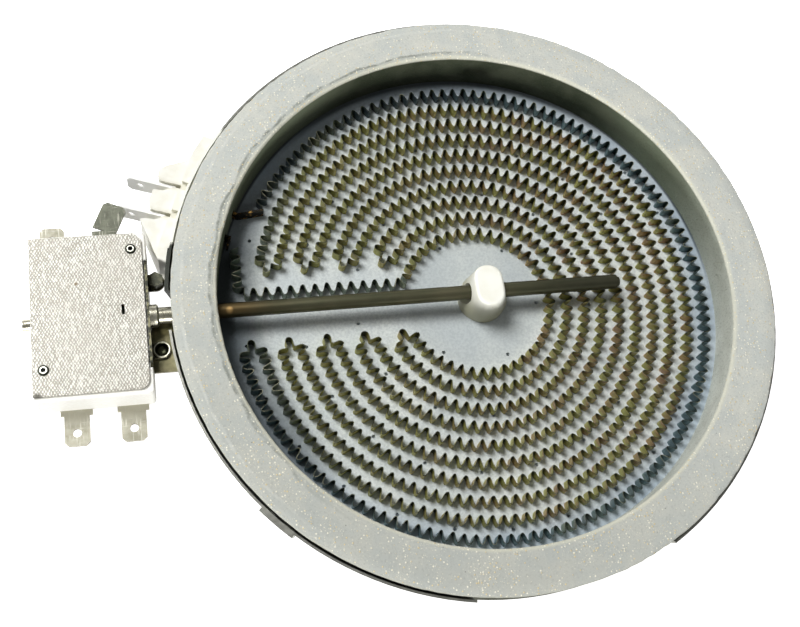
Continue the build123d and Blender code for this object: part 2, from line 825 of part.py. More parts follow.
def make_bracket():
    """Bracket between the pan's wall and the limiter's plate."""
    shelf_top = ear_height + bracket_thickness - mount_plate_thickness
    flange = sector([
        (pan_radius(bracket_foot), bracket_foot),
        (pan_radius(bracket_foot) + bracket_thickness, bracket_foot),
        (pan_radius(shelf_top) + bracket_thickness, shelf_top),
        (pan_radius(shelf_top), shelf_top),
    ], bracket_start_angle, bracket_end_angle)
    far = -pan_radius(shelf_top) * sin(radians(bracket_end_angle - 180))
    near = -pan_radius(shelf_top) * sin(radians(bracket_start_angle - 180))
    shelf = block_of((head_max_x, -pan_foot_radius + bracket_shelf_root), (far, near),
                     (shelf_bottom(), shelf_top))
    keep = revolved([(0, 0), (pan_radius(0), 0), (pan_radius(pan_height), pan_height), (0, pan_height)])
    bracket = (shelf - keep).solids().sort_by(SortBy.VOLUME)[-1] + flange
    return bracket - post(clamp_rivet_shank + 2 * tube_fit, clamp_rivet_place, 0, pan_height)


def block_rivet_bore(diameter, start):
    """Round bar that points out through the block's middle lobe."""
    bar = rod_x(diameter, start, block_nose + overlap, 0.0, block_rivet_height)
    return Rot(0, 0, block_rivet_angle) * bar


def block_prism(outs, top):
    """Upright prism under the block's outer side, with its corners at the distances outs."""
    places = [along for along, _ in block_outer_side]
    outline = [(places[0], ring_inner_radius), *zip(places, outs), (places[-1], ring_inner_radius)]
    face = make_face(Polyline(*[block_point(t, w) for t, w in outline], close=True))
    return Pos(0, 0, block_bottom) * extrude(face, amount=top - block_bottom)


def make_block():
    """Ceramic terminal block: three lobes with a groove for a blade between each pair."""
    body = block_prism([out for _, out in block_outer_side], block_top)
    body += block_prism([min(out, block_ridge_reach) for _, out in block_outer_side], block_ridge_top)
    keep = revolved([
        (0, 0),
        (pan_radius(0) + block_wall_gap, 0),
        (pan_radius(pan_height) + block_wall_gap, pan_height),
        (0, pan_height),
    ])
    body -= keep
    body -= wall_pad(rim_pad_start - rim_pad_margin, rim_pad_end, rim_pad_bottom - block_wall_gap,
                     pan_height, rim_pad_stand + block_wall_gap)
    for place in block_groove_places:
        angle = groove_angle(place)
        body -= groove_cut(place)
        body -= radial_box(angle, ring_inner_radius, lead_root_radius + overlap / 2,
                           lead_channel_width, base_top, base_top + lead_channel_height)
        body -= radial_box(angle, ring_inner_radius, block_ridge_reach + overlap,
                           block_saddle_width, block_top, block_ridge_top + overlap)
    body -= block_rivet_bore(block_rivet_head + 2 * tube_fit, block_rivet_seat)
    return body - block_rivet_bore(block_rivet_diameter + 2 * tube_fit, ring_inner_radius)


def groove_cut(place):
    """What a groove takes from the block: a slot for the blade that opens out on one side."""
    half = block_groove_width / 2
    far = block_nose + far_overlap
    start = groove_root(place) - overlap / 2
    wide = block_groove_mouth[-1][1]
    outline = [(start, -half), (far, -half), (far, wide), *block_groove_mouth[::-1], (start, half)]
    face = make_face(Polyline(*[(out, place + side) for out, side in outline], close=True))
    cut = extrude(face, amount=block_ridge_top + overlap - block_groove_floor)
    return Rot(0, 0, groove_direction) * Pos(0, 0, block_groove_floor) * cut


def make_block_rivet():
    """Rivet that fixes the block to the pan's wall."""
    shank_start = pan_radius(block_rivet_height) - sheet_on_slope / 2
    shank = rod_x(block_rivet_diameter, shank_start, block_rivet_seat, 0.0, block_rivet_height)
    head = rod_x(block_rivet_head, block_rivet_seat, block_rivet_seat + block_rivet_head_height,
                 0.0, block_rivet_height)
    return Rot(0, 0, block_rivet_angle) * (shank + head)


def build_all():
    lead_outer, lead_inner = make_leads()
    return {
        "pan": make_pan(),
        "insulating_base": make_base(),
        "insulating_ring": make_ring(),
        "heating_ribbon": make_ribbon(),
        "outer_lead": lead_outer,
        "inner_lead": lead_inner,
        "outer_blade": make_block_blade(block_groove_places[0]),
        "inner_blade": make_block_blade(block_groove_places[1]),
        "terminal_block": make_block(),
        "terminal_block_rivet": make_block_rivet(),
        "limiter_tube": make_tube(),
        "limiter_expansion_rod": make_expansion_rod(),
        "limiter_end_plug": make_plug(),
        "limiter_sleeve": make_sleeve(),
        "limiter_ferrule": make_ferrule(),
        "rod_support_bead": make_bead(),
        "limiter_housing": make_housing(),
        "limiter_cover": make_cover(),
        "cover_rivets": make_cover_rivets(),
        "adjusting_screw": make_adjuster(),
        "front_left_tab": make_front_tab(front_left_tab_x, front_leg_x(switch_b_x)),
        "front_right_tab": make_front_tab(front_right_tab_x, front_leg_x(switch_a_x)),
        "back_left_tab": make_back_tab(back_tab_x, back_leg_x(switch_b_x)),
        "back_right_tab": make_raised_tab(raised_tab_x, back_leg_x(switch_a_x)),
        "switch_spring_a": make_spring(switch_a_x),
        "switch_spring_b": make_spring(switch_b_x),
        "switch_contacts": make_contacts(),
        "actuator_pin": rod_x(actuator_diameter, switch_a_x + spring_thickness, actuator_start_x),
        "link_pin": rod_x(link_diameter, switch_b_x + spring_thickness, switch_a_x),
        "limiter_plate": make_mount_plate(),
        "limiter_bracket": make_bracket(),
        "hex_screw": make_hex_screw(),
        "clamp_rivet": make_clamp_rivet(),
    }


os.makedirs("parts", exist_ok=True)
for name, shape in build_all().items():
    export_step(shape, f"parts/{name}.step")
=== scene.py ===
# %% [markdown]
# A round radiant heating element for a glass hob: a thin steel pan, an insulating base and ring,
# a corrugated heating ribbon, and a temperature limiter whose long tube lies across the ring.
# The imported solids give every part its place. This scene gives each surface its finish, and it
# makes again, as finer meshes, the parts whose detail is too small for the solids.

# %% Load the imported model
import math
import random

import bmesh
import bpy
from mathutils import Matrix, Vector, noise


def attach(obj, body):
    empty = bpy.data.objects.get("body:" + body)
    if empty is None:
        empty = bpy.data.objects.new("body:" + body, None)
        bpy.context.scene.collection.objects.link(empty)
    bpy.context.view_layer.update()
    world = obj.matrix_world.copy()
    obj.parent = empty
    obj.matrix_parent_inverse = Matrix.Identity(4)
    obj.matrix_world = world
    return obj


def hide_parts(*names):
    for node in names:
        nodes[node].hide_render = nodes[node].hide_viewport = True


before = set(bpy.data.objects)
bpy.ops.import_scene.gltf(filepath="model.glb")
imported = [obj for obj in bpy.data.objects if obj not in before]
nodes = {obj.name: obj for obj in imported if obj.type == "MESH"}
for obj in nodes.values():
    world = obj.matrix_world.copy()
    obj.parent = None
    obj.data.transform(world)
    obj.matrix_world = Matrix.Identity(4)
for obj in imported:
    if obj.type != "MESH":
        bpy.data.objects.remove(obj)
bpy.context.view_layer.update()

MM = 0.001

# %% [markdown]
# The camera comes first, because every look is seen through it. Its place and turn were solved from the
# ring's two ellipses and from the limiter's square head. The rows below are the camera's right, up and
# back directions; put side by side as columns they make its rotation.

# %% Camera
IMAGE_WIDTH = 800
FOCAL_PIXELS = 1150
SENSOR_MM = 36.0
CLIP_START = 0.01
camera_place = Vector((-79.4, -108.4, 303.8)) * MM
camera_right = Vector((0.9799, -0.1354, 0.1465))
camera_up = Vector((0.0757, 0.9318, 0.3549))
camera_back = camera_right.cross(camera_up).normalized()
camera_up = camera_back.cross(camera_right).normalized()

lens = bpy.data.cameras.new("photo_camera")
lens.sensor_width = SENSOR_MM
lens.lens = FOCAL_PIXELS / IMAGE_WIDTH * SENSOR_MM
lens.dof.use_dof = False
lens.clip_start = CLIP_START
camera = bpy.data.objects.new("photo_camera", lens)
turn = Matrix((camera_right, camera_up, camera_back)).transposed()
camera.matrix_world = Matrix.Translation(camera_place) @ turn.to_4x4()
bpy.context.collection.objects.link(camera)
bpy.context.scene.camera = camera
print("lens", round(lens.lens, 2), "mm")

# %% [markdown]
# The light is a plain studio: an even sky, one large soft lamp behind the upper left of the
# object, whose shadows fall to the lower right, and a weaker one on the left. A grazing light
# from the front brightens upright faces and passes over the ring. The Standard view keeps the
# whites clean, which suits a part shown on white.

# %% Lights
SKY_STRENGTH = 0.2
KEY_POWER = 28.6
KEY_PLACE = (-0.70, 0.59, 1.42)
KEY_SIZE = 0.66
FILL_POWER = 0.5
FILL_PLACE = (-0.62, -0.5, 0.3)
FILL_AIM = (-0.08, 0, 0)
FILL_SIZE = 0.6
FRONT_STRENGTH = 2.3
FRONT_DIRECTION = (0.12, 1.0, -0.045)
FRONT_SPREAD = math.radians(4)
WHITE = (255, 255, 255)


def linear(level):
    """A display level from 0 to 255 as the linear value that shaders use."""
    share = level / 255
    return share / 12.92 if share <= 0.04045 else ((share + 0.055) / 1.055) ** 2.4


def tone(red, green, blue):
    """A display colour as a linear colour with full alpha."""
    return (linear(red), linear(green), linear(blue), 1.0)


def add_lamp(name, data, direction, place=(0, 0, 0)):
    """A lamp at a place that shines in a direction."""
    lamp = bpy.data.objects.new(name, data)
    lamp.location = place
    lamp.rotation_euler = Vector(direction).to_track_quat("-Z", "Y").to_euler()
    bpy.context.collection.objects.link(lamp)


def soft_lamp(name, place, aim, size, power):
    """A square area lamp that looks at a point."""
    data = bpy.data.lights.new(name, "AREA")
    data.shape = "SQUARE"
    data.size = size
    data.energy = power
    add_lamp(name, data, Vector(aim) - Vector(place), place)


sky = bpy.data.worlds.new("studio")
sky.use_nodes = True
sky.node_tree.nodes["Background"].inputs["Color"].default_value = tone(*WHITE)
sky.node_tree.nodes["Background"].inputs["Strength"].default_value = SKY_STRENGTH
bpy.context.scene.world = sky
bpy.context.scene.view_settings.view_transform = "Standard"
bpy.context.scene.view_settings.look = "None"

soft_lamp("key_lamp", KEY_PLACE, (0, 0, 0), KEY_SIZE, KEY_POWER)
soft_lamp("fill_lamp", FILL_PLACE, FILL_AIM, FILL_SIZE, FILL_POWER)
front = bpy.data.lights.new("front_light", "SUN")
front.energy = FRONT_STRENGTH
front.angle = FRONT_SPREAD
add_lamp("front_light", front, FRONT_DIRECTION)
print("lamps", KEY_POWER, "W and", FILL_POWER, "W")

# %% [markdown]
# Shader maths reads best as ordinary sums. A Field wraps one output socket, and adding,
# subtracting, multiplying or dividing Fields adds the Math nodes. Its other methods shape a
# value: step and fade turn it into a smooth mask, and over and until do the same for a length,
# between two places in millimetres.

# %% Values over a surface
class Field:
    """A value that varies over a surface."""

    def __init__(self, finish, socket):
        self.finish = finish
        self.socket = socket

    def __add__(self, other):
        return self.finish.maths("ADD", self, other)

    def __radd__(self, other):
        return self.finish.maths("ADD", other, self)

    def __sub__(self, other):
        return self.finish.maths("SUBTRACT", self, other)

    def __rsub__(self, other):
        return self.finish.maths("SUBTRACT", other, self)

    def __mul__(self, other):
        return self.finish.maths("MULTIPLY", self, other)

    def __rmul__(self, other):
        return self.finish.maths("MULTIPLY", other, self)

    def __truediv__(self, other):
        return self.finish.maths("DIVIDE", self, other)

    def __rtruediv__(self, other):
        return self.finish.maths("DIVIDE", other, self)

    def __abs__(self):
        return self.finish.maths("ABSOLUTE", self)

    def sine(self):
        return self.finish.maths("SINE", self)

    def larger(self, other):
        return self.finish.maths("MAXIMUM", self, other)

    def smaller(self, other):
        return self.finish.maths("MINIMUM", self, other)

    def step(self, low, high, start=0.0, end=1.0):
        """A smooth change from start to end as the value goes from low to high."""
        return self.finish.node("ShaderNodeMapRange", {"interpolation_type": "SMOOTHSTEP"},
                                {0: self, 1: low, 2: high, 3: start, 4: end})

    def fade(self, low, high, start=1.0):
        """A smooth fall from start to nothing."""
        return self.step(low, high, start, 0.0)

    def over(self, low, high, start=0.0, end=1.0):
        """A step of a length, between places in millimetres."""
        return self.step(low * MM, high * MM, start, end)

    def until(self, low, high, start=1.0):
        """A fade of a length, between places in millimetres."""
        return self.over(low, high, start, 0.0)


print("Field ready")

# %% [markdown]
# A Finish is one material with a single method, node, that makes any kind of node: its settings
# are set first, then its sockets get values or links. The other methods are short names for what
# most finishes need: cloudy grain, scattered specks and dots, coats of colour one over the other,
# distances, and relief. Colours are given as display levels, which are easy to read off a screen.

# %% One material
class Finish:
    """A material built from nodes."""

    def __init__(self, name, roughness=0.5, metallic=0.0):
        self.material = bpy.data.materials.new(name)
        self.material.use_nodes = True
        self.tree = self.material.node_tree
        self.shader = self.tree.nodes["Principled BSDF"]
        self.set("Roughness", roughness)
        self.set("Metallic", metallic)
        self.where = self.node("ShaderNodeTexCoord", out="Object")

    def node(self, kind, settings=None, values=None, out=0):
        """Any node: settings first, then values or links for its sockets."""
        made = self.tree.nodes.new(kind)
        for key, value in (settings or {}).items():
            setattr(made, key, value)
        for key, value in (values or {}).items():
            self.feed(made.inputs[key], value)
        return Field(self, made.outputs[out])

    def feed(self, socket, value):
        """A link from a Field, or a plain value, which for a colour is its display levels."""
        if isinstance(value, Field):
            self.tree.links.new(value.socket, socket)
        else:
            socket.default_value = tone(*value) if socket.type == "RGBA" else value

    def set(self, name, value):
        """A value or a link for one socket of the shader."""
        self.feed(self.shader.inputs[name], value)

    def colour(self, value):
        self.set("Base Color", value)

    def maths(self, operation, first, second=0.0):
        return self.node("ShaderNodeMath", {"operation": operation}, {0: first, 1: second})

    def vector(self, operation, first, second=(0, 0, 0), out=0):
        return self.node("ShaderNodeVectorMath", {"operation": operation}, {0: first, 1: second}, out)

    def blend(self, share, first, second):
        """A colour between two colours."""
        return self.node("ShaderNodeMix", {"data_type": "RGBA"}, {0: share, 6: first, 7: second}, out=2)

    def coats(self, ground, *layers):
        """A ground colour with layers over it, each a share and a colour, the last on top."""
        for share, colour in layers:
            ground = self.blend(share, ground, colour)
        return ground

    def grain(self, size_mm, detail=2.0, rough=0.5, where=None, warp=0.0):
        """Cloudy noise whose blobs are about size_mm across."""
        values = {"Vector": where or self.where, "Scale": 1.0 / (size_mm * MM),
                  "Detail": detail, "Roughness": rough, "Distortion": warp}
        return self.node("ShaderNodeTexNoise", None, values)

    def specks(self, spacing_mm, out="Distance"):
        """Distance to, or the colour of, the nearest of many scattered points."""
        values = {"Vector": self.where, "Scale": 1.0 / (spacing_mm * MM)}
        return self.node("ShaderNodeTexVoronoi", None, values, out)

    def dots(self, spacing_mm, edge, patch_mm, rarity, share):
        """Scattered round marks, kept only where a cloudy noise is high."""
        return self.specks(spacing_mm).fade(*edge) * self.grain(patch_mm).step(*rarity) * share

    def stretched(self, x, y, z):
        """The surface's place with each axis scaled."""
        return self.vector("MULTIPLY", self.where, (x, y, z))

    def axes(self, vector=None):
        """The three coordinates, in metres."""
        parts = self.node("ShaderNodeSeparateXYZ", None, {0: vector or self.where})
        return [Field(self, output) for output in parts.socket.node.outputs]

    def length(self, vector):
        return self.vector("LENGTH", vector, out="Value")

    def radius(self):
        """Distance from the ring's axis, in metres."""
        return self.length(self.stretched(1, 1, 0))

    def far_from(self, x, y):
        """Distance in metres from the upright line at a place in millimetres."""
        return self.length(self.vector("SUBTRACT", self.stretched(1, 1, 0), (x * MM, y * MM, 0)))

    def relief(self, height, depth_mm, strength=1.0):
        """Bump: height 1 stands depth_mm above height 0."""
        self.set("Normal", self.node("ShaderNodeBump", None, {
            "Height": height, "Distance": depth_mm * MM, "Strength": strength,
        }))


print("Finish ready")

# %% [markdown]
# The floor is plain and pale, and it belongs to the stage, not to the object. It glows enough to
# stay white under the object, and it is left out of diffuse light, so that the glow doesn't wash
# out the upright faces. Polished steel still mirrors it. Far off it rises like the paper sweep of
# a studio, so that low views show no horizon.

# %% Floor
FLOOR_HALF = 20.0
FLOOR_DROP = 0.0002
FLOOR_GLOW = 1.0
FLOOR_TONE = (250, 250, 250)
SWEEP_START = 6.0
SWEEP_HEIGHT = 6.0
quarters = ((-1, -1), (1, -1), (1, 1), (-1, 1))
flat = [(x * SWEEP_START, y * SWEEP_START, -FLOOR_DROP) for x, y in quarters]
raised = [(x * FLOOR_HALF, y * FLOOR_HALF, SWEEP_HEIGHT) for x, y in quarters]
sides = [(i, (i + 1) % 4, 4 + (i + 1) % 4, 4 + i) for i in range(4)]
floor_mesh = bpy.data.meshes.new("floor")
floor_mesh.from_pydata(flat + raised, [], [(0, 1, 2, 3)] + sides)
floor = bpy.data.objects.new("floor", floor_mesh)
bpy.context.collection.objects.link(floor)
white = Finish("floor_white", roughness=0.9)
white.colour(FLOOR_TONE)
white.set("Specular IOR Level", 0.0)
white.set("Emission Color", WHITE)
white.set("Emission Strength", FLOOR_GLOW)
floor_mesh.materials.append(white.material)
floor.visible_diffuse = False
floor.visible_shadow = False
print("floor", 2 * FLOOR_HALF, "m wide")

# %% [markdown]
# Three small helpers do the same for every piece. One smooths a mesh's round faces while its corners
# stay sharp. One gives imported solids their finish and prints which. The last makes a mesh a new piece
# that rides on the body and may stand for an imported solid.

# %% Helpers for pieces
SHARP_DEGREES = 32


def smooth(mesh, degrees=SHARP_DEGREES):
    """Round faces shade smoothly, and edges sharper than the angle stay crisp."""
    mesh.polygons.foreach_set("use_smooth", [True] * len(mesh.polygons))
    mesh.set_sharp_from_angle(angle=math.radians(degrees))


def dress(names, finish):
    """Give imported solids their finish."""
    for name in names:
        solid = nodes[name]
        if not solid.material_slots:
            solid.data.materials.append(finish.material)
        for place in solid.material_slots:
            place.link = "OBJECT"
            place.material = finish.material
    print(finish.material.name, "on", *names)


def new_piece(name, mesh, slot, *stands_for):
    piece = bpy.data.objects.new(name, mesh)
    bpy.context.collection.objects.link(piece)
    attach(piece, "root")
    if stands_for:
        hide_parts(*stands_for)
    return piece


print(len(nodes), "packed solids")

# %% [markdown]
# The heating ribbon is a thin strip of resistance alloy stood on edge and crimped into waves.
# It runs back and forth on ten tracks, joined in pairs by hairpins beside the limiter's tube, and
# its inner end comes back to the terminal along the tube. A curve with an array would place the
# waves, but they would shear in the hairpins. Here the middle line is a chain of arcs and straight
# runs, and the strip's two sides are worked out point by point along it.

# %% The ribbon's middle line
TRACKS = 10
FIRST_RADIUS = 20.75
TRACK_STEP = 5.0
CENTRE = (0.3, -1.2)
TRACK_PITCH = 3.08
RUN_PITCH = 3.28
LOWER_HAIRPIN_Y = -11.3
UPPER_HAIRPIN_Y = 15.0
OUTER_START = 150.5
RUN_Y = 5.8
RUN_END_X = -64.6
TURN_RADIUS = 2.5
RUN_TOP_Y = 19.6
HAIRPIN_HALF_WAVES = 4
CORNER_HALF_WAVES = 2


def arc(centre, radius, start, end):
    """A point and its left-hand side at a share of an arc, and the arc's length."""
    turning = 1 if end > start else -1

    def at(share):
        angle = math.radians(start + (end - start) * share)
        out = (math.cos(angle), math.sin(angle))
        point = (centre[0] + radius * out[0], centre[1] + radius * out[1])
        return point, (-turning * out[0], -turning * out[1])
    return at, radius * abs(math.radians(end - start))


def run(start, end):
    """The same for a straight run."""
    length = math.dist(start, end)
    ahead = ((end[0] - start[0]) / length, (end[1] - start[1]) / length)

    def at(share):
        point = (start[0] + ahead[0] * length * share, start[1] + ahead[1] * length * share)
        return point, (-ahead[1], ahead[0])
    return at, length


def radius_of(track):
    return FIRST_RADIUS + (track - 1) * TRACK_STEP


def angle_at(radius, y):
    """Angle on the left side where a circle about the pattern's centre reaches a height."""
    return 180 - math.degrees(math.asin((y - CENTRE[1]) / radius))


def ribbon_line():
    """Stretches of the middle line: place function, length, half waves or None, pitch, track."""
    leave = angle_at(FIRST_RADIUS + TURN_RADIUS, RUN_Y + TURN_RADIUS)
    stretches = []
    clockwise = True
    start = OUTER_START
    for track in range(TRACKS, 0, -1):
        middle = radius_of(track) - TRACK_STEP / 2
        if track == 1:
            end = leave
        else:
            end = angle_at(middle, LOWER_HAIRPIN_Y if clockwise else UPPER_HAIRPIN_Y)
        sweep = (start, end - 360) if clockwise else (start - 360, end)
        stretches.append((*arc(CENTRE, radius_of(track), *sweep), None, TRACK_PITCH, track))
        if track > 1:
            turn_at = math.radians(end)
            pin = (CENTRE[0] + middle * math.cos(turn_at), CENTRE[1] + middle * math.sin(turn_at))
            half = -180 if clockwise else 180
            stretches.append((*arc(pin, TRACK_STEP / 2, end, end + half),
                              HAIRPIN_HALF_WAVES, TRACK_PITCH, track - 0.5))
        start = end
        clockwise = not clockwise
    reach = FIRST_RADIUS + TURN_RADIUS
    corner = (CENTRE[0] + reach * math.cos(math.radians(leave)), RUN_Y + TURN_RADIUS)
    bend = (RUN_END_X + TURN_RADIUS, RUN_Y + TURN_RADIUS)
    stretches.append((*arc(corner, TURN_RADIUS, leave + 180, 270), CORNER_HALF_WAVES, RUN_PITCH, 0))
    stretches.append((*run((corner[0], RUN_Y), (bend[0], RUN_Y)), None, RUN_PITCH, 0))
    stretches.append((*arc(bend, TURN_RADIUS, 270, 180), CORNER_HALF_WAVES, RUN_PITCH, 0))
    stretches.append((*run((RUN_END_X, bend[1]), (RUN_END_X, RUN_TOP_Y)), None, RUN_PITCH, 0))
    return stretches


line = ribbon_line()
print("ribbon's middle line", round(sum(stretch[1] for stretch in line)), "mm")

# %% [markdown]
# Each half wave gets seven points. Its reach, its place along the line and its lean differ a
# little from its neighbours, because a crimped strip is never perfect; the random numbers are
# seeded, so the strip is the same every time. Two values are stored with the points for the
# finish: how deep a point lies in the hollow of a wave, and which track it is on.

# %% The ribbon's mesh
WAVE_REACH = 1.28
RIBBON_TOP = 15.9
RIBBON_BOTTOM = 12.35
STRIP = 0.11
POINTS_PER_HALF = 7
FLANK_STEEPNESS = 0.055
UNEVEN_REACH = 0.07
UNEVEN_PLACE = 0.045
UNEVEN_LEAN = 0.1
WAVE_SEED = 11
RIBBON_SHARP_DEGREES = 50
wave_dice = random.Random(WAVE_SEED)


def half_wave_count(length, fixed, pitch, odd):
    if fixed is not None:
        return fixed
    count = max(round(2 * length / pitch), 1)
    return count + 1 if odd and count % 2 == 0 else count


def ribbon_sections():
    """Sections along the strip: place, side direction, swing from -1 to 1, lean and track."""
    counts = []
    for i, (_, length, fixed, pitch, _) in enumerate(line):
        odd = fixed is None and 0 < i < 2 * TRACKS - 2
        counts.append(half_wave_count(length, fixed, pitch, odd))
    side = 1 if counts[0] % 2 == 0 else -1
    sections = []
    for (at, length, fixed, _, track), count in zip(line, counts):
        for half in range(count):
            reach = WAVE_REACH * (1 + wave_dice.uniform(-UNEVEN_REACH, UNEVEN_REACH))
            nudge = wave_dice.uniform(-UNEVEN_PLACE, UNEVEN_PLACE)
            lean = wave_dice.uniform(-UNEVEN_LEAN, UNEVEN_LEAN)
            for k in range(POINTS_PER_HALF):
                u = k / POINTS_PER_HALF
                flank = math.sin(math.pi * u)
                swing = side * math.cos(math.pi * u)
                shift = FLANK_STEEPNESS * math.sin(2 * math.pi * u) + nudge * flank ** 2
                share = min(max((half + u + shift) / count, 0.0), 1.0)
                point, left = at(share)
                sections.append((point, left, swing, reach, lean * flank, track))
            side = -side
    return sections


def strip_mesh(sections):
    """A closed strip whose left, right and top faces follow the sections."""
    middle = []
    for point, left, swing, reach, _, _ in sections:
        middle.append((point[0] + left[0] * reach * swing, point[1] + left[1] * reach * swing))
    points = []
    hollow = []
    tracks = []
    last = len(middle) - 1
    for i, (x, y) in enumerate(middle):
        before = middle[max(i - 1, 0)]
        after = middle[min(i + 1, last)]
        length = math.dist(before, after)
        across = (-(after[1] - before[1]) / length, (after[0] - before[0]) / length)
        _, _, swing, _, lean, track = sections[i]
        for hand in (1, -1):
            for z, leaning in ((RIBBON_BOTTOM, 0.0), (RIBBON_TOP, lean)):
                reach = hand * STRIP / 2 + leaning
                points.append(((x + across[0] * reach) * MM, (y + across[1] * reach) * MM, z * MM))
                hollow.append(max(-hand * swing, 0.0))
                tracks.append(track)
    faces = []
    for i in range(last):
        a = 4 * i
        b = a + 4
        faces.append((a, b, b + 1, a + 1))
        faces.append((a + 1, b + 1, b + 3, a + 3))
        faces.append((a + 3, b + 3, b + 2, a + 2))
        faces.append((a + 2, b + 2, b, a))
    end = 4 * last
    faces.append((0, 1, 3, 2))
    faces.append((end + 2, end + 3, end + 1, end))
    mesh = bpy.data.meshes.new("ribbon_winding")
    mesh.from_pydata(points, [], faces)
    mesh.attributes.new("hollow", "FLOAT", "POINT").data.foreach_set("value", hollow)
    mesh.attributes.new("track", "FLOAT", "POINT").data.foreach_set("value", tracks)
    return mesh


ribbon_mesh = strip_mesh(ribbon_sections())
smooth(ribbon_mesh, RIBBON_SHARP_DEGREES)
print("ribbon", len(ribbon_mesh.polygons), "faces")

# %% [markdown]
# In use the alloy oxidises. Most of the strip is olive and khaki with patches of brown and pink.
# The outermost track and the run beside the tube stay cooler and are steel blue, and the far part of
# that track, where the ring casts its shadow, is painted nearly black as a painted shadow. The hollows
# of the waves are painted darker, as painted shade. A picture could show all this, but masks of place
# and of track need no unwrapping. The cut top edge has a finish of its own.

# %% The ribbon's finish
OUTER_TRACK = (9.2, 9.9)
SECOND_TRACK = (8.2, 8.9)
RUN_TRACK = (0.05, 0.4)
alloy = Finish("oxidised_ribbon", roughness=0.5, metallic=0.4)
hollow = alloy.node("ShaderNodeAttribute", {"attribute_name": "hollow"}, out="Fac")
track = alloy.node("ShaderNodeAttribute", {"attribute_name": "track"}, out="Fac")
ribbon_x, ribbon_y, _ = alloy.axes()
fine = alloy.grain(1.3)
olive = alloy.blend(fine, (134, 134, 62), (192, 188, 116))
brown = alloy.blend(fine, (146, 118, 74), (190, 160, 114))
rosy = alloy.grain(3.2).step(0.5, 0.62) * 0.7
brown = alloy.blend(rosy, brown, (168, 134, 118))
patches = alloy.grain(5.0, detail=3.0).step(0.42, 0.62)
warm = alloy.blend(patches * ribbon_x.over(-50, 30, 0.25, 0.9), olive, brown)

outermost = track.step(*OUTER_TRACK)
run_side = 1 - track.step(*RUN_TRACK)
near_terminal = 1 - ribbon_x.over(-62, -40)
second_track = track.step(*SECOND_TRACK) * near_terminal
cool = outermost.larger(run_side * 0.75).larger(second_track * 0.8)
cool = cool * alloy.grain(14.0).step(0.25, 0.5, 0.62, 1.0)
# Painted shadow: the far part of the outermost track, which the ring shades, is painted nearly black.
ring_shadow_on_track = (ribbon_y - ribbon_x * 0.9).over(30, 70) * outermost
blue = alloy.blend(fine, (54, 78, 92), (128, 152, 152))
blue = alloy.blend(ring_shadow_on_track * 0.7, blue, (16, 26, 36))
# Painted shade: the hollows of the waves are painted dark green-black.
painted_hollow_shade = hollow.step(0.1, 0.95) * 0.9
alloy.colour(alloy.coats(warm, (cool, blue), (painted_hollow_shade, (20, 36, 18))))
alloy.relief(alloy.grain(0.35), 0.02, 0.5)

edge = Finish("ribbon_edge", roughness=0.45, metallic=0.4)
edge.colour(edge.blend(edge.grain(6.0).step(0.5, 0.66), (52, 56, 40), (150, 148, 122)))
print("ribbon", alloy.material.name, "and", edge.material.name)

# %% [markdown]
# The strip's faces come in fours along its length, and the second of each four is the top edge.
# Marking those faces gives the edge its own material without a second mesh.

# %% The ribbon as a piece
FACES_PER_SECTION = 4
END_FACES = 2
ribbon_mesh.materials.append(alloy.material)
ribbon_mesh.materials.append(edge.material)
side_faces = len(ribbon_mesh.polygons) - END_FACES
top_faces = [1 if i % FACES_PER_SECTION == 1 else 0 for i in range(side_faces)] + [0] * END_FACES
ribbon_mesh.polygons.foreach_set("material_index", top_faces)
ribbon = new_piece("ribbon_winding", ribbon_mesh, "ribbon", "heating_ribbon")
print("ribbon box", [round(v / MM, 1) for v in ribbon.dimensions])

# %% [markdown]
# The leads carry current from the blades to the ribbon's ends. Heat has tinted them from straw to
# copper, and they are also painted dark, as painted shade, with golden spots that are painted
# highlights.

# %% Leads
lead = Finish("tinted_lead_painted_light", roughness=0.38, metallic=0.8)
# Painted shade and highlights over the heat tint: a near-black ground with golden spots.
tint_and_glints = lead.grain(1.4, detail=3.0, rough=0.6).step(0.52, 0.66)
lead.colour(lead.blend(tint_and_glints, (30, 26, 16), (176, 138, 74)))
lead.relief(lead.grain(0.5), 0.03, 0.5)
dress(["outer_lead", "inner_lead"], lead)

# %% [markdown]
# The insulating base is pressed from a very fine powder. It is soft, matt and blue-grey, paler
# where it was rubbed, greyer in the middle and bluer towards the ring. Fine grain, faint cloudy
# patches and a slight unevenness are enough: sharper noise would look like concrete.

# %% The base's powder
base = Finish("pressed_base", roughness=0.94)
base.set("Specular IOR Level", 0.15)
bx, by, _ = base.axes()
base_radius = base.radius()
cloud = base.grain(16.0, detail=3.0).step(0.3, 0.7)
powder = base.grain(0.7, detail=3.0, rough=0.65)
bluish = base.blend(cloud, (158, 172, 184), (182, 192, 198))
powder_tone = base.coats(
    base.blend(cloud, (200, 207, 208), (215, 220, 217)),
    (base_radius.over(58, 70.5), bluish),
    (base_radius.until(17.5, 20.5, 0.3), (152, 160, 160)),
    (powder.step(0.36, 0.66) * 0.35, (150, 158, 162)),
    (base.dots(3.1, (0.0, 0.1), 5.0, (0.58, 0.64), 0.6), (88, 94, 92)),
)
print("base", base.material.name)
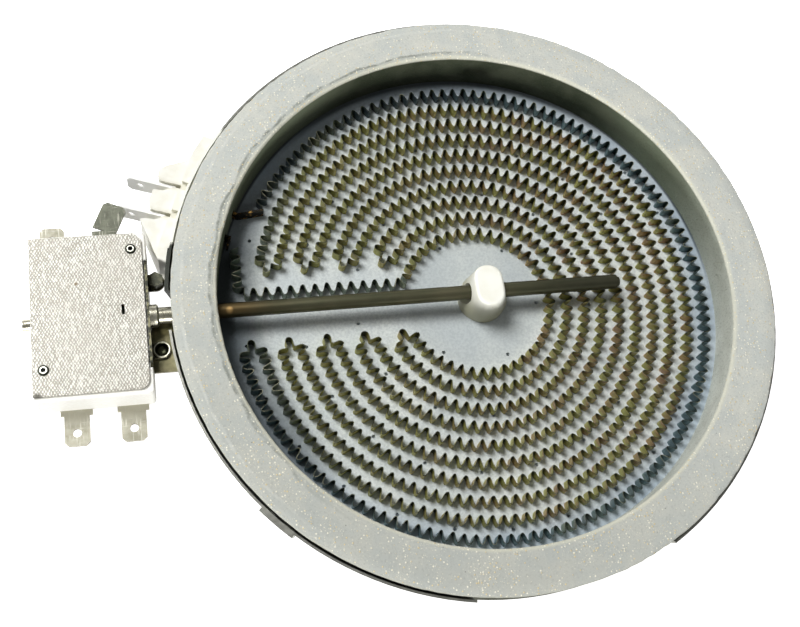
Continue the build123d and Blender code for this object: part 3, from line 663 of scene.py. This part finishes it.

# %% [markdown]
# Where the base meets the ring it is painted darker: painted shade at the foot of the wall, a painted
# shadow of the far wall, a painted shadow on the left past the leads, and soot beside the leads. Each
# dark place is a mask of radius and side, and the largest of them wins, so that they don't add up to a
# black band.

# %% The base's crevice
ragged_edge = (base.grain(2.2, detail=4.0, rough=0.65) - 0.5) * 0.008
uneven_radius = base_radius + ragged_edge * 0.4
# Painted shade and shadow of the ring on the base, with soot only beside the leads.
wall_foot_shade = base_radius.over(69.5, 70.2) * by.over(-10, 20)
lead_side = by.over(19, 22) * by.until(33, 36)
burnt = (base_radius + ragged_edge).over(66.2, 67.6) * lead_side * bx.over(-30, -40)
far_wall_shadow = base_radius.over(68.0, 69.9) * (by - abs(bx) * 0.4).over(20, 50)
leftward = bx.over(-40, -54) * by.until(30, 44)
past_lead = by.over(16, 26, 1.0, 0.45)
left_shadow_edge = uneven_radius.over(55.0, 63.5) * leftward * past_lead * 0.6
left_shadow = uneven_radius.over(62.0, 67.5) * leftward * past_lead * by.over(-12, 0, 0.5, 0.9)
shade_and_soot = (wall_foot_shade * 0.85).larger(burnt * 0.5).larger(far_wall_shadow * 0.85).larger(left_shadow_edge.larger(left_shadow))
base.colour(base.blend(shade_and_soot, powder_tone, (34, 40, 38)))
base.relief(powder + base.grain(4.0) * 0.6, 0.12, 0.6)
dress(["insulating_base"], base)

# %% [markdown]
# The ring is pressed mineral, paler and coarser than the base, with flakes that glint gold and
# white. Its top has a wavering seam about two millimetres from the inner edge, and its rims are
# softly broken. The solid's rims are straight and crisp, so a finer ring is turned here: a
# profile swept round the axis, with every point moved a little by noise, and the tunnel for the
# limiter's tube cut through it afterwards.

# %% The ring's section
RING_FOOT = 12.4
RING_TOP = 25.0
FOOT_INNER = (70.5, RING_FOOT)
OUTER_WALL = [(79.6, RING_FOOT), (82.05, 22.7), (82.4, 23.4)]
OUTER_ROUND = (81.95, 24.0, 0.5)
INNER_ROUND = (71.25, 24.15, 0.7)
INNER_WALL = [(70.53, 22.6), (70.52, 19.5), (70.52, 16.0)]
TOP_OUTER = 81.8
TOP_INNER = 71.4
TOP_STEPS = 26
TOP_SUNK = 0.06
CROWN_START = 79.6
CROWN_WIDTH = 2.6
CROWN_DROP = 0.42


def quarter_round(r, z, radius, start):
    """Points of a quarter circle in the ring's section."""
    turns = [math.radians(start + turn) for turn in range(0, 91, 15)]
    return [(r + radius * math.cos(turn), z + radius * math.sin(turn)) for turn in turns]


def ring_profile():
    """Points of the ring's section, anticlockwise from the inner foot."""
    top = []
    for step in range(1, TOP_STEPS):
        r = TOP_OUTER + (TOP_INNER - TOP_OUTER) * step / TOP_STEPS
        crown = CROWN_DROP * max(0.0, (r - CROWN_START) / CROWN_WIDTH) ** 1.5
        top.append((r, RING_TOP - TOP_SUNK - crown))
    return [FOOT_INNER, *OUTER_WALL, *quarter_round(*OUTER_ROUND, 0), *top,
            *quarter_round(*INNER_ROUND, 90), *INNER_WALL]


section = ring_profile()
print("ring section", len(section), "points")

# %% [markdown]
# The wear moves every point of the section a little as it goes round: broken rims, a slight
# overhang to one side and a faint swell of the top. A displace modifier would move the points
# along one direction only, and the rims are worn in two, so the points are placed by a function.

# %% The ring's worn mesh
RING_SIDES = 640
LUMPS_ROUND = 26
CHIPS_ROUND = 70
OVERHANG = 0.5
OVERHANG_ANGLE = 0.2


def nearness(value, place, reach):
    """1 at a place, falling evenly to 0 at the reach on either side."""
    return max(0.0, 1 - abs(value - place) / reach)


def ring_wear(r, z, angle):
    """How far a point of the ring is moved in and down, in millimetres."""
    spot = Vector((math.cos(angle), math.sin(angle), 0.0))
    lumps = noise.noise(spot * LUMPS_ROUND + Vector((0, 0, z * 0.4)))
    chips = noise.noise(spot * CHIPS_ROUND + Vector((0, 0, z * 0.9)))
    outer_rim = nearness(r, 82.3, 1.0) * nearness(z, 24.3, 1.4)
    inner_rim = nearness(r, 70.8, 0.9) * nearness(z, 24.6, 1.0)
    facing = max(0.0, math.cos(angle - OVERHANG_ANGLE)) ** 0.5
    overhang = OVERHANG * facing * min(max((z - 23.0) / 0.6, 0.0), 1.0) * max(0.0, (r - 80.0) / 2.5)
    inward = outer_rim * (0.12 + 0.3 * lumps + 0.12 * chips)
    outward = inner_rim * (0.1 + 0.14 * lumps + 0.1 * chips)
    swell = 0.05 + 0.05 * noise.noise(Vector((r * 0.35, angle * 12, 3.1)))
    down = swell if z > 24.0 else 0.0
    return max(inward, 0.0) - max(outward, 0.0) - overhang, down


def ring_mesh():
    form = bmesh.new()
    rows = []
    for i in range(RING_SIDES):
        angle = 2 * math.pi * i / RING_SIDES
        row = []
        for r, z in section:
            inward, down = ring_wear(r, z, angle)
            near = r - inward
            row.append(form.verts.new((near * math.cos(angle) * MM, near * math.sin(angle) * MM,
                                       (z - down) * MM)))
        rows.append(row)
    count = len(section)
    for i in range(RING_SIDES):
        here = rows[i]
        there = rows[(i + 1) % RING_SIDES]
        for j in range(count):
            k = (j + 1) % count
            form.faces.new((here[j], there[j], there[k], here[k]))
    mesh = bpy.data.meshes.new("mineral_ring")
    form.normal_update()
    form.to_mesh(mesh)
    form.free()
    return mesh


whole_ring = ring_mesh()
print("worn ring", len(whole_ring.polygons), "faces")

# %% [markdown]
# The limiter's tube passes through a round tunnel in the ring, and the leads through two channels
# at its foot. A profile turned round an axis can't have gaps, so Boolean modifiers cut them with a
# rod and two bars.

# %% The ring's tunnel and channels
TUNNEL_RADIUS = 2.5
TUNNEL_MIDDLE = -77
TUBE_Z = 19.0
CHANNEL_WIDTH = 1.7
CHANNEL_TOP = 16.7
CHANNEL_ANGLES = (155.09, 161.03)
CUTTER_LENGTH = 20
CUTTER_MIDDLE = 75
CUTTER_FOOT = 11.0
RING_SHARP_DEGREES = 40


def cutter_bar(angle, width, top):
    """A bar from the axis outwards, used to cut the channels of the leads."""
    form = bmesh.new()
    size = Vector((CUTTER_LENGTH, width, top - CUTTER_FOOT)) * MM
    middle = Vector((CUTTER_MIDDLE, 0, (top + CUTTER_FOOT) / 2)) * MM
    bmesh.ops.create_cube(form, size=1.0)
    bmesh.ops.scale(form, vec=size, verts=form.verts)
    bmesh.ops.translate(form, vec=middle, verts=form.verts)
    bmesh.ops.rotate(form, matrix=Matrix.Rotation(math.radians(angle), 3, "Z"), verts=form.verts)
    return form


def cutter_rod():
    """A rod along the limiter's tube, used to cut the tunnel."""
    form = bmesh.new()
    place = Matrix.Translation(Vector((TUNNEL_MIDDLE, 0, TUBE_Z)) * MM)
    bmesh.ops.create_cone(form, cap_ends=True, segments=32, radius1=TUNNEL_RADIUS * MM,
                          radius2=TUNNEL_RADIUS * MM, depth=CUTTER_LENGTH * MM,
                          matrix=place @ Matrix.Rotation(math.pi / 2, 4, "Y"))
    return form


def cut(mesh, cutters):
    """The mesh with each cutter's form taken away."""
    blank = bpy.data.objects.new("blank", mesh)
    bpy.context.collection.objects.link(blank)
    helpers = []
    for form in cutters:
        data = bpy.data.meshes.new("cutter")
        form.to_mesh(data)
        form.free()
        helper = bpy.data.objects.new("cutter", data)
        bpy.context.collection.objects.link(helper)
        helpers.append(helper)
        work = blank.modifiers.new("cut", "BOOLEAN")
        work.operation = "DIFFERENCE"
        work.solver = "EXACT"
        work.object = helper
    bpy.context.view_layer.update()
    graph = bpy.context.evaluated_depsgraph_get()
    finished = bpy.data.meshes.new_from_object(blank.evaluated_get(graph))
    for helper in [blank, *helpers]:
        bpy.data.objects.remove(helper, do_unlink=True)
    return finished


bars = [cutter_bar(angle, CHANNEL_WIDTH, CHANNEL_TOP) for angle in CHANNEL_ANGLES]
mineral_ring = cut(whole_ring, [cutter_rod(), *bars])
smooth(mineral_ring, RING_SHARP_DEGREES)
print("ring", len(mineral_ring.polygons), "faces")

# %% [markdown]
# The top of the ring is pale cool grey and a little darker towards the front. On the left a seam runs
# along it, painted as shade: two broken dark lines with a painted shade between them. Near the outer
# rim, where the top starts to fall, a paler line is a painted highlight. They are painted at a distance
# from the axis, and noise moves them in and out and breaks them up.

# %% The ring's top
SEAM_RADIUS = 72.5
CREASE_RADIUS = 79.7
mineral = Finish("pressed_ring", roughness=0.9)
mineral.set("Specular IOR Level", 0.2)
rx, ry, rz = mineral.axes()
ring_radius = mineral.radius()
mottle = mineral.grain(7.0, detail=3.0).step(0.32, 0.68)
sand = mineral.grain(0.55, detail=2.5, rough=0.6)
wobble = mineral.grain(12.0) - 0.5
ragged = mineral.grain(1.1, detail=3.0, rough=0.6) - 0.5
broken = mineral.grain(3.0, detail=4.0, rough=0.6).step(0.36, 0.6, 0.3, 1.0)
on_left = (rx - ry * 0.5).until(-55, 0)
from_seam = ring_radius - SEAM_RADIUS * MM + on_left * 0.0003 - wobble * 0.0034 - ragged * 0.0006
# Painted shade: the seam's fold, its second line and the band between them are painted dark.
fold_shade = abs(from_seam).until(0.08, 0.7) * broken
second = abs(from_seam + 0.0008 - ragged * 0.0004).until(0.05, 0.35, 0.6) * broken
between = abs(from_seam + 0.0004).until(0.4, 1.0, 0.3)
seam = fold_shade.larger(second).larger(between) * on_left
# Painted highlight: a paler line where the top starts to fall.
crease_highlight = abs(ring_radius - CREASE_RADIUS * MM + wobble * 0.002).until(0.1, 0.6, 0.3)
top_tone = mineral.coats(
    mineral.blend(mottle, (192, 196, 191), (203, 204, 195)),
    (sand.step(0.5, 0.72) * 0.4, (158, 161, 156)),
    (seam * 0.74, (108, 113, 103)),
    ((ry * 0.9 + rx * 0.35).until(-85, 10, 0.42), (152, 154, 146)),
    (crease_highlight * broken * on_left, (226, 227, 220)),
    (ring_radius.until(71.1, 71.9) * 0.5, (212, 210, 188)),
)
print("seam at", SEAM_RADIUS, "mm, crease at", CREASE_RADIUS, "mm")

# %% [markdown]
# The mineral glints with gold and white flakes and with finer dust. Both come from a Voronoi
# texture whose cells are mostly switched off by their own random colour, which keeps them sparse.
# They gather in streaks and are a little more frequent near the inner rim.

# %% The ring's flakes
FLAKE_SPACING = 0.72
DUST_SPACING = 0.4
streaks = mineral.grain(9.0, detail=4.0, rough=0.65) - 0.5
flake_kind = mineral.axes(mineral.specks(FLAKE_SPACING, out="Color"))
dust_kind = mineral.axes(mineral.specks(DUST_SPACING, out="Color"))
near_lip = ring_radius.until(72.2, 74.5, 0.07)
flake_chance = (flake_kind[0] + streaks * 1.1 + near_lip).step(0.66, 0.76)
dust_chance = (dust_kind[0] + streaks * 0.9).step(0.74, 0.84)
is_flake = mineral.specks(FLAKE_SPACING).fade(0.2, 0.42) * flake_chance
is_dust = mineral.specks(DUST_SPACING).fade(0.15, 0.4) * dust_chance
flake_tone = mineral.blend(flake_kind[1].step(0.5, 0.62), (250, 246, 226), (222, 204, 156))
top_tone = mineral.coats(
    top_tone,
    (is_flake * 0.8, flake_tone),
    (is_dust * 0.5, (244, 238, 212)),
    (mineral.dots(2.3, (0.05, 0.1), 6.0, (0.55, 0.6), 0.7), (110, 112, 106)),
)
print("flakes every", FLAKE_SPACING, "mm and dust every", DUST_SPACING, "mm")

# %% [markdown]
# The walls are olive, painted paler on the side that faces the lamp, as painted light, and the far
# inner wall is painted darkest, as painted shade. One mask of height parts the top's colours from the
# walls', so one material serves the whole mesh.

# %% The ring's walls
# Painted light and shade: paler where the walls face the lamp, darkest on the far inner wall.
lamp_side_light = (rx * 0.6 - ry * 0.8).over(6, 66)
far_inner_wall_shade = (ry - abs(rx - 0.014) * 0.9).over(0, 34)
wall_tone = mineral.coats(
    mineral.blend(lamp_side_light, (108, 117, 97), (212, 216, 206)),
    (far_inner_wall_shade, (50, 57, 42)),
    (mottle * 0.2, (110, 112, 96)),
    (sand.step(0.5, 0.7) * 0.3, (78, 81, 66)),
    (ring_radius.over(81.5, 82.1), (196, 197, 184)),
)
mineral.colour(mineral.blend(rz.over(23.8, 24.5), wall_tone, top_tone))
mineral.relief(sand * 0.6 + mineral.grain(2.6) - seam * 0.8 + is_flake * 0.6, 0.22, 0.7)
mineral_ring.materials.clear()
mineral_ring.materials.append(mineral.material)
ring = new_piece("mineral_ring", mineral_ring, "ring_insulation", "insulating_ring")
print("ring box", [round(v / MM, 2) for v in ring.dimensions])

# %% [markdown]
# The limiter's tube has been hot for years. It is dark olive brown, with a golden spot just inside the
# ring that is heat tint and a painted highlight, and a painted highlight runs along its top from there.
# It was drawn lengthways, so its fine scratches run along it. Noise stretched along the tube makes
# them.

# %% Tube and plug
HEAT_TINT_AND_HIGHLIGHT = (-0.0675, -0.0005, 0.0208)
tube = Finish("heat_browned_tube", roughness=0.42, metallic=0.75)
tx, _, tz = tube.axes()
drawn = tube.grain(0.9, detail=3.0, where=tube.stretched(0.06, 1, 1))
brown_patch = tube.grain(12.0, detail=3.0).step(0.35, 0.65)
from_tint_and_highlight = tube.length(tube.vector("SUBTRACT", tube.where, HEAT_TINT_AND_HIGHLIGHT))
top_highlight = tx.until(-66.5, -55, 0.07) * tz.over(20.2, 20.8)
tube.colour(tube.coats(
    tube.blend(brown_patch, (86, 87, 66), (100, 98, 76)),
    (drawn.step(0.4, 0.62) * 0.4, (84, 78, 58)),
    (tx.until(-71, -46) * 0.95, (62, 51, 24)),
    # Heat tint and painted highlight near the ring, and a painted highlight along the top.
    (from_tint_and_highlight.until(0.1, 1.4, 0.6).larger(top_highlight), (226, 184, 120)),
    (tx.over(4, 34) * 0.7, (52, 54, 42)),
))
tube.set("Roughness", drawn.step(0.3, 0.7, 0.34, 0.52))
tube.relief(drawn, 0.03, 0.6)
dress(["limiter_tube", "limiter_end_plug"], tube)

# %% [markdown]
# The sleeve, the ferrule and the small fasteners are plated steel. Even metal would look new, so
# one noise changes its colour and its roughness together.

# %% Plated steel
plated = Finish("plated_steel", roughness=0.3, metallic=0.95)
rub = plated.grain(1.4, detail=4.0, rough=0.6)
plated.colour(plated.blend(rub.step(0.35, 0.7), (176, 172, 152), (198, 195, 180)))
plated.set("Roughness", rub.step(0.3, 0.7, 0.26, 0.32))
dress(["limiter_sleeve", "limiter_ferrule", "adjusting_screw", "terminal_block_rivet"], plated)

# %% [markdown]
# The bead that holds the tube up is white steatite with a thin glaze: warm white, soft highlights and a
# few brown specks fired into the top. Its foot is painted darker, as painted shade. The glaze is a thin
# coat, which gives highlights while the body stays soft.

# %% Bead
bead = Finish("glazed_bead", roughness=0.45)
bead.set("Coat Weight", 0.12)
bead.set("Coat Roughness", 0.2)
bead_cloud = bead.grain(5.0).step(0.35, 0.7)
bead.colour(bead.coats(
    bead.blend(bead_cloud, (253, 253, 244), (248, 247, 234)),
    # Painted shade: darker and warmer towards the foot.
    (bead.axes()[2].until(15.8, 25.2, 0.95), (168, 166, 140)),
    (bead.dots(1.6, (0.03, 0.09), 3.5, (0.56, 0.6), 0.6), (164, 142, 108)),
))
bead.relief(bead.grain(1.8), 0.06, 0.5)
dress(["rod_support_bead"], bead)

# %% [markdown]
# The limiter's head and its inner rod and pins are unglazed and chalky. A dark line of painted shade
# marks the gap where the upright plate stands against the head. It is painted, because the gap itself
# is too thin to look dark.

# %% Head and inner ceramics
head = Finish("white_steatite", roughness=0.5)
chalk = head.grain(0.8, detail=3.0)
hx, hy, _ = head.axes()
# Painted shade in the gap beside the upright plate.
beside_plate = hx.over(-88.95, -88.85) * hx.until(-88.4, -88.2) * abs(hy).until(14.6, 15.0)
gap_shade = head.grain(1.6).step(0.35, 0.5, 0.4, 0.95)
head.colour(head.coats(
    head.blend(chalk.step(0.35, 0.7), (252, 251, 244), (247, 245, 236)),
    (beside_plate * gap_shade, (46, 48, 38)),
))
head.relief(chalk * 0.3 + head.grain(5.0), 0.05, 0.35)
dress(["limiter_housing", "limiter_expansion_rod", "actuator_pin", "link_pin"], head)

# %% [markdown]
# The terminal block is the same ceramic, painted a little darker in the two valleys where the blades
# stand between its lobes, as painted shade. Pressed ceramic has no knife edges, so the block and the
# head get a
# small bevel that follows their sharp edges and leaves the solids as they are.

# %% Terminal block
BLADE_LINES = (-9.3, -0.4)
BLADE_DIRECTION = math.radians(161.3)
SOFT_EDGE = 0.45
SOFT_EDGE_STEPS = 3
SOFT_EDGE_DEGREES = 50
block = Finish("block_steatite", roughness=0.5)
lobe_x, lobe_y, _ = block.axes()
place_across = lobe_x * -math.sin(BLADE_DIRECTION) + lobe_y * math.cos(BLADE_DIRECTION)
outer_line, inner_line = [abs(place_across - place * MM) for place in BLADE_LINES]
# Painted shade in the valleys beside the blades.
valley_shade = outer_line.smaller(inner_line).until(0.2, 1.9, 0.75)
block_cloud = block.grain(3.0).step(0.35, 0.7)
lobe_tone = block.blend(block_cloud, (240, 239, 229), (233, 231, 218))
block.colour(block.blend(valley_shade, lobe_tone, (214, 211, 192)))
block.relief(block_cloud, 0.05, 0.35)
dress(["terminal_block"], block)
for name in ("terminal_block", "limiter_housing"):
    rounding = nodes[name].modifiers.new("soft_edges", "BEVEL")
    rounding.width = SOFT_EDGE * MM
    rounding.segments = SOFT_EDGE_STEPS
    rounding.limit_method = "ANGLE"
    rounding.angle_limit = math.radians(SOFT_EDGE_DEGREES)
    rounding.harden_normals = False
print("soft edges", SOFT_EDGE, "mm")

# %% [markdown]
# The limiter's cover is sheet steel rolled with a woven imprint: small upright diamonds in rows
# that are offset by half a step. The pattern is the product of two slanting waves. Bump gives it
# light and shade, and a little of the same pattern in the colour gives the grey in the valleys.
# A small brown stain keeps the plate from looking new, and a grey patch darkens one corner.

# %% Cover
WEAVE_X = 0.80
WEAVE_Y = 1.36
COVER_MARKS = (((-105.8, 9.0), 0.6, (112, 92, 48)),
                ((-116.2, -20.6), 1.7, (82, 80, 68)))
cover = Finish("woven_cover", roughness=0.42, metallic=0.25)
cx, cy, _ = cover.axes()
drift = (cover.grain(2.2) - 0.5) * 1.6
sway = (cover.grain(1.7, warp=0.4) - 0.5) * 1.4
across = cx / (WEAVE_X * MM)
along = cy / (WEAVE_Y * MM)
rise = ((across + along + drift) * math.pi).sine()
fall = ((across - along - sway) * math.pi).sine()
worn = cover.grain(0.6, detail=3.0, where=cover.stretched(1, 0.45, 1))
weave = (abs(rise * fall) + (worn - 0.5) * 1.9).step(0.05, 0.7)
cover_cloud = cover.grain(10.0, detail=3.0).step(0.3, 0.7)
cover_marks = [(cover.far_from(*place).until(reach * 0.4, reach, 0.85), stain)
          for place, reach, stain in COVER_MARKS]
cover.colour(cover.coats(
    cover.blend(weave, (160, 156, 143), (230, 228, 219)),
    (cover_cloud * 0.25, (206, 200, 188)),
    *cover_marks,
    (cover.dots(2.0, (0.04, 0.12), 2.6, (0.6, 0.64), 0.7), (120, 112, 98)),
))
cover.relief(weave, 0.12, 0.8)
dress(["limiter_cover"], cover)
print("weave", WEAVE_X, "by", WEAVE_Y, "mm")

# %% [markdown]
# The spade tabs are nickel-plated brass, satin and scratched both ways where a connector slid on and
# off. The raised tab is darker, and the blades in the terminal block are painted near white, as painted
# light, and mirror less. Only tones and shine differ, so one function makes all three; its scratches
# are noise stretched along an axis.

# %% Tabs and blades
def plate_finish(name, dark, light, scratch, metallic):
    """Worn nickel plate with fine scratches, paler at the front tabs' roots."""
    made = Finish(name, roughness=0.45, metallic=metallic)
    body = made.grain(2.4, detail=4.0, rough=0.6).step(0.3, 0.7)
    lengthways = made.grain(0.35, where=made.stretched(1, 0.07, 1)).step(0.56, 0.7)
    crossways = made.grain(0.3, where=made.stretched(0.08, 1, 1)).step(0.62, 0.74)
    scratches = lengthways.larger(crossways)
    plate_y = made.axes()[1]
    root = plate_y.over(-26.2, -23.2) * plate_y.until(-20, -18, 0.75)
    made.colour(made.coats(made.blend(body, dark, light), (root, (214, 210, 190)),
                           (scratches * 0.6, scratch)))
    made.set("Roughness", scratches.step(0.0, 1.0, 0.5, 0.35))
    made.relief(scratches, 0.02, 0.6)
    return made


nickel = plate_finish("worn_nickel", (140, 137, 118), (170, 167, 150), (214, 212, 198), 0.3)
dark_nickel = plate_finish("dark_nickel", (80, 82, 70), (102, 104, 90), (172, 170, 156), 0.6)
# Painted light: the blades are painted near white to stand in for the light on them.
painted_light_nickel = plate_finish("painted_light_nickel", (250, 250, 245), (253, 253, 250), (255, 255, 252), 0.0)
dress(["front_left_tab", "front_right_tab", "back_left_tab"], nickel)
dress(["outer_blade", "inner_blade"], painted_light_nickel)
dress(["back_right_tab"], dark_nickel)

# %% [markdown]
# The pan is thin aluminised steel. It was deep-drawn, so its wall has faint upright streaks. A patch on
# the ear beside the tube is painted dark, as painted shade, and a strip of the rim beside the terminal
# block is painted matt and pale, as painted light. Both are masks of place, because the pan is one
# solid with one material.

# %% Pan
sheet = Finish("aluminised_sheet", roughness=0.34, metallic=0.95)
sx, sy, sz = sheet.axes()
spangle = sheet.grain(1.6, detail=3.0)
streak = sheet.grain(0.7, where=sheet.stretched(1, 1, 0.05))
high_up = sz.over(13.5, 14.2)
# Painted shade: a dark patch on the ear beside the tube.
ear_shade = sy.over(0.2, 0.6) * sy.until(18.0, 18.6) * sx.until(-78.5, -78.0) * high_up
# Painted light: a pale, matt strip of rim beside the terminal block.
rim_painted_light = sx.until(-66.0, -64.5) * sy.over(18.6, 19.2) * high_up
sheet.colour(sheet.coats(
    sheet.blend(spangle.step(0.35, 0.65), (140, 140, 132), (150, 150, 142)),
    (streak.step(0.45, 0.7) * 0.3, (122, 122, 114)),
    (ear_shade * 0.97, (30, 34, 26)),
    (rim_painted_light, (236, 236, 226)),
))
sheet.set("Metallic", 0.95 - rim_painted_light * 0.9 - ear_shade * 0.4)
sheet.set("Roughness", spangle.step(0.3, 0.7, 0.32, 0.38))
sheet.relief(streak + spangle * 0.4, 0.015, 0.4)
dress(["pan"], sheet)

# %% [markdown]
# The limiter's bracket and plate are browner steel, and the plate is stained almost black. The
# cover's hollow rivets have a dark rolled line round their bores, painted at a distance from the
# nearer rivet's axis. The hex screw is plain dark steel.

# %% Bracket, plate, rivets and screw
COVER_RIVETS = ((-91.7, 17.8), (-114.5, -13.6))
bracket = Finish("bracket_steel", roughness=0.3, metallic=0.95)
wear = bracket.grain(1.8, detail=4.0)
bracket.colour(bracket.blend(wear.step(0.35, 0.65), (88, 86, 64), (112, 107, 82)))
bracket.set("Roughness", wear.step(0.3, 0.7, 0.3, 0.42))
dress(["limiter_bracket"], bracket)

stained = Finish("stained_plate", roughness=0.4, metallic=0.6)
stain = stained.grain(1.3, detail=4.0, rough=0.65).step(0.42, 0.6)
stained.colour(stained.blend(stain, (38, 40, 30), (122, 118, 92)))
dress(["limiter_plate"], stained)

rivets = Finish("hollow_rivets", roughness=0.3, metallic=0.9)
back_rivet, front_rivet = [rivets.far_from(*place) for place in COVER_RIVETS]
to_rivet = back_rivet.smaller(front_rivet)
rolled = to_rivet.over(0.60, 0.66) * to_rivet.until(0.82, 0.98)
rivets.colour(rivets.blend(rolled, (44, 46, 38), (208, 208, 196)))
dress(["cover_rivets"], rivets)

dark_steel = Finish("dark_screw", roughness=0.42, metallic=0.5)
screw_grain = dark_steel.grain(0.9, detail=3.0).step(0.4, 0.65)
dark_steel.colour(dark_steel.blend(screw_grain, (58, 60, 46), (84, 84, 66)))
dress(["hex_screw"], dark_steel)

# %% [markdown]
# One rivet clamps the bracket to the limiter's plate. It is a hollow rivet: its rim was rolled over by
# a punch, which leaves a ring round a dished middle. A profile turned round an upright axis gives it
# that ring, and the bracket's tongue runs on below the tube. The ring is painted bright as a painted
# highlight, and the middle dark as painted shade.

# %% Rolled rivet and bracket tongue
RIVET_SIDES = 48
RIVET_PLACE = (-85.55, -8.2)
RIVET_PROFILE = [(0.0, 14.0), (0.9, 14.05), (1.3, 14.3), (1.5, 15.0), (1.62, 15.5), (1.82, 15.78),
                 (2.05, 15.8), (2.24, 15.62), (2.29, 15.35), (2.2, 15.12), (1.55, 15.1), (1.55, 13.6),
                 (1.9, 13.55), (1.9, 12.9), (1.5, 12.7), (0.0, 12.7)]
TONGUE = [(-87.85, -2.3), (-81.75, -2.3), (-81.75, 0.6), (-82.3, 1.4), (-87.3, 1.4), (-87.85, 0.9)]
TONGUE_LEVELS = (13.85, 14.45)


def turned_mesh(name, profile, place):
    """A profile of radius and height, turned round an upright axis."""
    form = bmesh.new()
    path = [form.verts.new(((place[0] + r) * MM, place[1] * MM, z * MM)) for r, z in profile]
    edges = [form.edges.new(pair) for pair in zip(path, path[1:])]
    centre = Vector((place[0], place[1], 0)) * MM
    bmesh.ops.spin(form, geom=path + edges, cent=centre, axis=(0, 0, 1), angle=2 * math.pi,
                   steps=RIVET_SIDES, use_merge=True)
    bmesh.ops.remove_doubles(form, verts=form.verts, dist=0.001 * MM)
    bmesh.ops.recalc_face_normals(form, faces=form.faces)
    mesh = bpy.data.meshes.new(name)
    form.to_mesh(mesh)
    form.free()
    return mesh


def sheet_mesh(name, outline, levels):
    """A flat piece of sheet with a plan outline between two levels."""
    count = len(outline)
    points = [(x * MM, y * MM, z * MM) for z in levels for x, y in outline]
    faces = [tuple(range(count, 2 * count)), tuple(reversed(range(count)))]
    for i in range(count):
        j = (i + 1) % count
        faces.append((i, j, count + j, count + i))
    mesh = bpy.data.meshes.new(name)
    mesh.from_pydata(points, [], faces)
    return mesh


rivet_mesh = turned_mesh("rolled_rivet", RIVET_PROFILE, RIVET_PLACE)
smooth(rivet_mesh)
rolled_steel = Finish("rolled_edge", roughness=0.28, metallic=0.9)
# Painted highlight on the rolled ring and painted shade in the dished middle.
dish_shade = rolled_steel.far_from(*RIVET_PLACE).until(1.78, 1.98)
rolled_steel.colour(rolled_steel.blend(dish_shade, (196, 194, 174), (60, 62, 46)))
rivet_mesh.materials.append(rolled_steel.material)
new_piece("rolled_rivet", rivet_mesh, "bright_steel", "clamp_rivet")
tongue_mesh = sheet_mesh("bracket_tongue", TONGUE, TONGUE_LEVELS)
tongue_mesh.materials.append(bracket.material)
tongue = new_piece("bracket_tongue", tongue_mesh, "bright_steel")
print("rivet", len(rivet_mesh.polygons), "faces; tongue", [round(v / MM, 1) for v in tongue.dimensions])

# %% [markdown]
# Inside the head sit the snap switches. Their springs are copper alloy, and little of them shows
# through the head's openings, so the solids stay and get one warm metal finish.

# %% Switch springs
copper = Finish("switch_alloy", roughness=0.35, metallic=0.9)
copper.colour(copper.blend(copper.grain(1.5).step(0.4, 0.6), (196, 160, 96), (214, 186, 130)))
dress(["switch_spring_a", "switch_spring_b", "switch_contacts"], copper)

# %% [markdown]
# Last, the view layer is updated.

# %% Update the view layer
bpy.context.view_layer.update()
